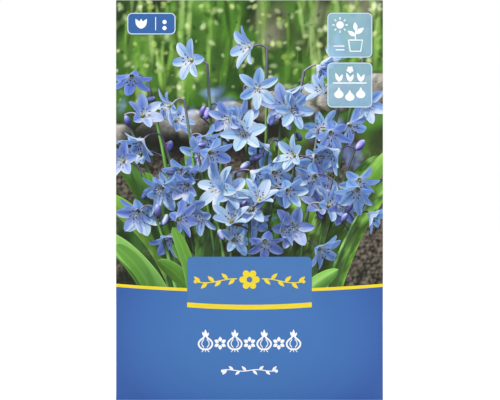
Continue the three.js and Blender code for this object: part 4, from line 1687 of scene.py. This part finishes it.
def make_scraps(bulbs, material):
    """Scraps of tunic and crumbs of earth that have sunk to the bag's bottom, clear of the
    bulbs."""
    rng = np.random.default_rng(SEED + 5)
    tree = solid_tree(bulbs)
    shell = solid_tree([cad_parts["bag"]])
    lump = Lump()
    taken = [np.zeros(3)]
    for i in range(SCRAP_TRIES):
        x, y = rng.uniform(-SCRAP_HALF, SCRAP_HALF), rng.uniform(FILM_FRONT_Y, bag_high[1])
        place = np.array([x, y, BAG_FLOOR])
        if i % 2:
            skins, shades = scrap(rng)
            points, faces = np.array(skins) + place, shell_faces(SCRAP_ROWS, SCRAP_ROWS)
            shades = [shades, shades]
        else:
            radius = rng.uniform(0.2, 0.55)
            points, faces, shades = crumb(place + [0, 0, radius], radius, rng)
        spaced = np.linalg.norm(np.array(taken) - place, axis=1).min() > SCRAP_PITCH
        if spaced and all(is_free(point, tree, shell) for point in points.reshape(-1, 3)):
            lump.add(points, faces, shades)
            taken += [place] if i % 2 else []
    make_piece("tunic_scraps", lump.mesh("tunic_scraps"), material)


# ---- Film bag -------------------------------------------------------------------------------

bag_low, bag_high = (np.array(corner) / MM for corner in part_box("bag"))
BAG_HALF = 56.8  # to the welds
BAG_CLOSES = 122.0  # where front and back film are sealed together above the bulbs
BAG_FLOOR = 0.6
SEAL_WIDTH = 3.2
SEAL_PITCH = 2.8  # from rib to rib along a seal
SEAL_RIB = 0.07
SEAL_HAZE = 0.5
FILM_FRONT_Y = bag_low[1] + 0.05
FILM_MEETS_Y = FILM_FRONT_Y + 0.2
FILM_CELL = 0.7
FILM_EDGE = math.radians(75)  # the film is shaded smooth over edges that turn less than this
FILM_GAP = 0.25  # the film's distance from what it lies on
FILM_SWELL = 0.0006  # how far a point of the film stands out from the points around it
FILM_STEPS = 2200
FILM_SHADE = colour("E8F0F2")
# Above the seal the film hangs slack: how strongly it folds there, and the heights and distances
# from the middle over which that fades out
SLACK = 0.35
SLACK_TOP = (150, 140)
SLACK_SIDES = (59, 55)
BEHIND = 60.0  # a y well behind the bag
BOTTOM_ROWS = 15
BOTTOM_DIP = 0.35
VENT_RADIUS = 2.5
VENT_RIM = 0.12  # how far it stands out
VENTS = np.array([(x, z) for x in (-30, 0, 30) for z in (18, 48, 78, 108)], float)
# Creases: how many, the corners between which their middles lie, their lengths and widths
PLEATS = (46, (-50, 88), (50, 122), (14, 36), (1.2, 3.2))
WRINKLES = (74, (-55, 2), (55, 120), (6, 20), (0.9, 2.2))


def drape(height, lowest, fixed):
    """Relaxes the film's heights: level with their neighbours plus a swell, above the lowest."""
    for _ in range(FILM_STEPS):
        mean = (height[:-2, 1:-1] + height[2:, 1:-1] + height[1:-1, :-2] + height[1:-1, 2:]) / 4
        inner = np.maximum(mean + FILM_SWELL, lowest[1:-1, 1:-1])
        height[1:-1, 1:-1] = np.where(fixed[1:-1, 1:-1], height[1:-1, 1:-1], inner)
    return height


def crease_relief(x, z, rng):
    """Folds in the film: pleats that fan out above the bulbs, and short ones anywhere."""
    relief = np.zeros_like(x)
    for kind in (PLEATS, WRINKLES):
        count, low, high, lengths, widths = kind
        for _ in range(count):
            centre = rng.uniform(low, high)
            fan = -centre[0] * 0.006
            lean = fan + rng.normal() * 0.28 if kind is PLEATS else rng.uniform(-1.6, 1.6)
            relief += crease(x - centre[0], z - centre[1], lean, rng.uniform(*lengths), widths, rng)
    return relief


def crease(dx, dz, lean, length, widths, rng):
    """One bent fold about its middle: a ridge, steeper on one side, and a dip beside it."""
    along = (dx * math.sin(lean) + dz * math.cos(lean)) / length
    beside = dx * math.cos(lean) - dz * math.sin(lean) + rng.uniform(-3.5, 3.5) * along * along
    width = rng.uniform(*widths)
    size = width * rng.uniform(0.2, 0.5)
    ridge = np.exp(-np.abs(beside) / np.where(beside > 0, width, 0.45 * width))
    dip = 0.35 * np.exp(-np.abs(beside + 1.7 * width) / (1.4 * width))
    return size * (ridge - dip) * np.clip(1 - along * along, 0, 1) ** 1.5


def reach_back(tree, x, z):
    """The y of the solids' back there, or where the films meet if there is none."""
    hit = tree.ray_cast(Vector((x, BEHIND, z)), Vector((0, -1, 0)))[0]
    return FILM_MEETS_Y if hit is None else hit[1]


def film_floor(xs, zs, pieces):
    """The least y that the back film may have over the pieces at each point of its grid."""
    tree = solid_tree(pieces)
    lowest = np.full((len(zs), len(xs)), FILM_MEETS_Y)
    for j, z in enumerate(zs):
        if z < BAG_CLOSES:
            lowest[j] = [max(reach_back(tree, x, z) + FILM_GAP, FILM_MEETS_Y) for x in xs]
    for piece in pieces:
        raise_over(lowest, xs, zs, mesh_points(piece.data))
    lowest[:, np.abs(xs) > BAG_HALF] = FILM_MEETS_Y
    return lowest


def raise_over(lowest, xs, zs, points):
    """Raises the film's floor at the four grid points around each of those points."""
    column = ((points[:, 0] - xs[0]) / (xs[1] - xs[0])).astype(int)
    row = ((points[:, 2] - zs[0]) / (zs[1] - zs[0])).astype(int)
    for j, i in ((row, column), (row, column + 1), (row + 1, column), (row + 1, column + 1)):
        np.maximum.at(lowest, (j, i), points[:, 1] + FILM_GAP)


def seals(x, z):
    """1 on the seals along the bag's sides, and on the one across it above the bulbs."""
    side = smoothstep(BAG_HALF - 0.2, BAG_HALF + 0.5, np.abs(x))
    half = SEAL_WIDTH / 2
    top = smoothstep(half + 0.4, half - 0.4, np.abs(z - BAG_CLOSES - half))
    return side, top * (1 - side)


def film_folds(x, z, air):
    """Folds where the film has air under it or hangs slack above the seal, and the seals' ribs."""
    rng = np.random.default_rng(SEED + 3)
    beside = np.abs(x)
    free = smoothstep(0.1, 1.4, air) * smoothstep(BAG_HALF, BAG_HALF - 6, beside)
    above = smoothstep(BAG_CLOSES + SEAL_WIDTH, BAG_CLOSES + 2 * SEAL_WIDTH, z)
    above = above * SLACK * smoothstep(*SLACK_TOP, z) * smoothstep(*SLACK_SIDES, beside)
    slack = np.maximum(free * smoothstep(0, 5, z), above)
    folds = crease_relief(x, z, rng) + 0.25 * waves(np.stack([x, 0 * x, z], -1), 16, rng)
    side, top = seals(x, z)
    ribs = side * np.sin(z * math.tau / SEAL_PITCH) + top * np.sin(x * math.tau / SEAL_PITCH)
    return folds * slack + SEAL_RIB * ribs


def film_back(xs, zs, pieces):
    """The y of each point of the back film's grid."""
    x, z = np.meshgrid(xs, zs)
    lowest = film_floor(xs, zs, pieces)
    height = np.full(x.shape, FILM_MEETS_Y)
    bag = solid_tree([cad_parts["bag"]])
    inside = np.abs(xs) < BAG_HALF
    height[0, inside] = [reach_back(bag, across, BAG_FLOOR / 2) for across in xs[inside]]
    fixed = (np.abs(x) >= BAG_HALF) | (z >= BAG_CLOSES)
    height = drape(np.maximum(height, lowest), lowest, fixed)
    height = np.maximum(height + film_folds(x, z, height - lowest), lowest)
    height[-1] = height[:, 0] = height[:, -1] = FILM_FRONT_Y
    return height


def vent_distance(x, z):
    """How far each point is from the middle of the vent nearest to it."""
    return np.hypot(x[..., None] - VENTS[:, 0], z[..., None] - VENTS[:, 1]).min(-1)


def open_vents(back):
    """Moves the points near each vent's rim onto it; what is inside it is left out later."""
    for centre in VENTS:
        offset = back[..., ::2] - centre
        away = np.hypot(offset[..., 0], offset[..., 1])
        rim = (away > VENT_RADIUS - 1.5 * FILM_CELL) & (away < VENT_RADIUS + 0.5 * FILM_CELL)
        moved = centre + offset[rim] * (VENT_RADIUS / away[rim])[:, None]
        back[rim] = np.stack([moved[:, 0], back[rim, 1] + VENT_RIM, moved[:, 1]], -1)


def film_haze(x, z):
    """The back film's haze: on the ribs of its seals and the rims of its vents."""
    side, top = seals(x, z)
    ribs = 0.75 + 0.25 * np.cos(np.where(side > 0, z, x) * math.tau / SEAL_PITCH)
    rims = np.clip(1 - (vent_distance(x, z) - VENT_RADIUS) / FILM_CELL, 0, 1)
    haze = SEAL_HAZE * np.maximum(np.maximum(side, top) * ribs, 0.6 * rims)
    haze[[0, -1]] = haze[:, [0, -1]] = 0  # the front film starts at these points, and is clear
    return haze.ravel()


def back_faces(back):
    """The back film's faces, but for its vents and the two top corners."""
    rows, columns = back.shape[:2]
    gaps = vent_distance(back[..., 0], back[..., 2]).ravel()
    top_corners = {(rows - 1) * columns, rows * columns - 1}
    faces = [face for face in grid_faces(rows, columns)
             if max(gaps[i] for i in face) > VENT_RADIUS + 0.01]
    return [tuple(i for i in face if i not in top_corners) for face in faces]


def film_bottom(back):
    """The film under the bulbs, between the feet of the back and front films."""
    share = np.linspace(0, 1, BOTTOM_ROWS)[:, None]
    x, back_y, foot = back[0].T
    ripple = 0.5 + 0.5 * np.sin(x * 0.35 + 4 * share)
    dip = BOTTOM_DIP * np.sin(math.pi * share) * ripple * smoothstep(bag_high[0], BAG_HALF, np.abs(x))
    return np.stack([x + 0 * share, back_y * (1 - share) + FILM_FRONT_Y * share, foot + dip], -1)


def film_front(xs, zs):
    """The outline of the flat front film, from point to point of the back film's edge."""
    outline = [(x, zs[0]) for x in xs] + [(xs[-1], z) for z in zs[1:-1]]
    outline += [(x, zs[-1]) for x in xs[-2:0:-1]] + [(xs[0], z) for z in zs[-2:0:-1]]
    return [(x, FILM_FRONT_Y, z) for x, z in outline]


def make_film(pieces, material):
    """The clear bag: back film over the bulbs, flat front film, and the bottom between them."""
    xs, zs = (np.linspace(low, high, round((high - low) / FILM_CELL) + 1)
              for low, high in ((bag_low[0], bag_high[0]), (bag_low[2], bag_high[2])))
    x, z = np.meshgrid(xs, zs)
    back = np.stack([x, film_back(xs, zs, pieces), z], -1)
    open_vents(back)
    lump = Lump()
    lump.add(back, back_faces(back), FILM_SHADE)
    lump.add(film_bottom(back), grid_faces(BOTTOM_ROWS, len(xs)), FILM_SHADE)
    front = film_front(xs, zs)
    lump.add(front, [tuple(range(len(front)))], FILM_SHADE)
    haze = np.r_[film_haze(x, z), np.zeros(lump.count - x.size)]
    mesh = lump.mesh("film_bag", haze=haze)
    piece = make_piece("film_bag", mesh, material)
    mesh.set_sharp_from_angle(angle=FILM_EDGE)
    front_film = max(mesh.polygons, key=lambda polygon: polygon.loop_total)
    front_film.use_smooth = False
    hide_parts("bag")


# ---- Build ----------------------------------------------------------------------------------

make_camera()
make_floor()
make_light()

inks = {
    "band": band_ink(),
    "badge": flat_ink("badge_ink", "4574AE"),
    "tag": flat_ink("tag_ink", "3462A0"),
    "yellow": flat_ink("yellow_ink", "E9D02E"),
    "white": flat_ink("white_ink", "F2F4F6"),
    "pale": flat_ink("pale_ink", "C6DAE6"),
    "tile": tile_ink(),
    "picture": painted_ink(),
    "flap": flat_ink("flap_ink", "385F9E"),
}
make_ground(inks["picture"])
press_bed(grow_bed(), inks["picture"])
for make_print in (make_band, make_badge, make_tag, make_tiles, make_ornament, make_flap):
    make_print(inks)

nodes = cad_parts
nodes["card"].data.materials.clear()
nodes["card"].data.materials.append(board_skin())
bulb_names = sorted(name for name in nodes if name.startswith("bulb_"))
solids = solid_tree([nodes[name] for name in bulb_names + ["bag"]])
tunic = bulb_skin()
fine_bulbs = [make_bulb(name, solids, tunic) for name in bulb_names]
make_scraps(fine_bulbs, tunic)
make_film(fine_bulbs, film_skin())
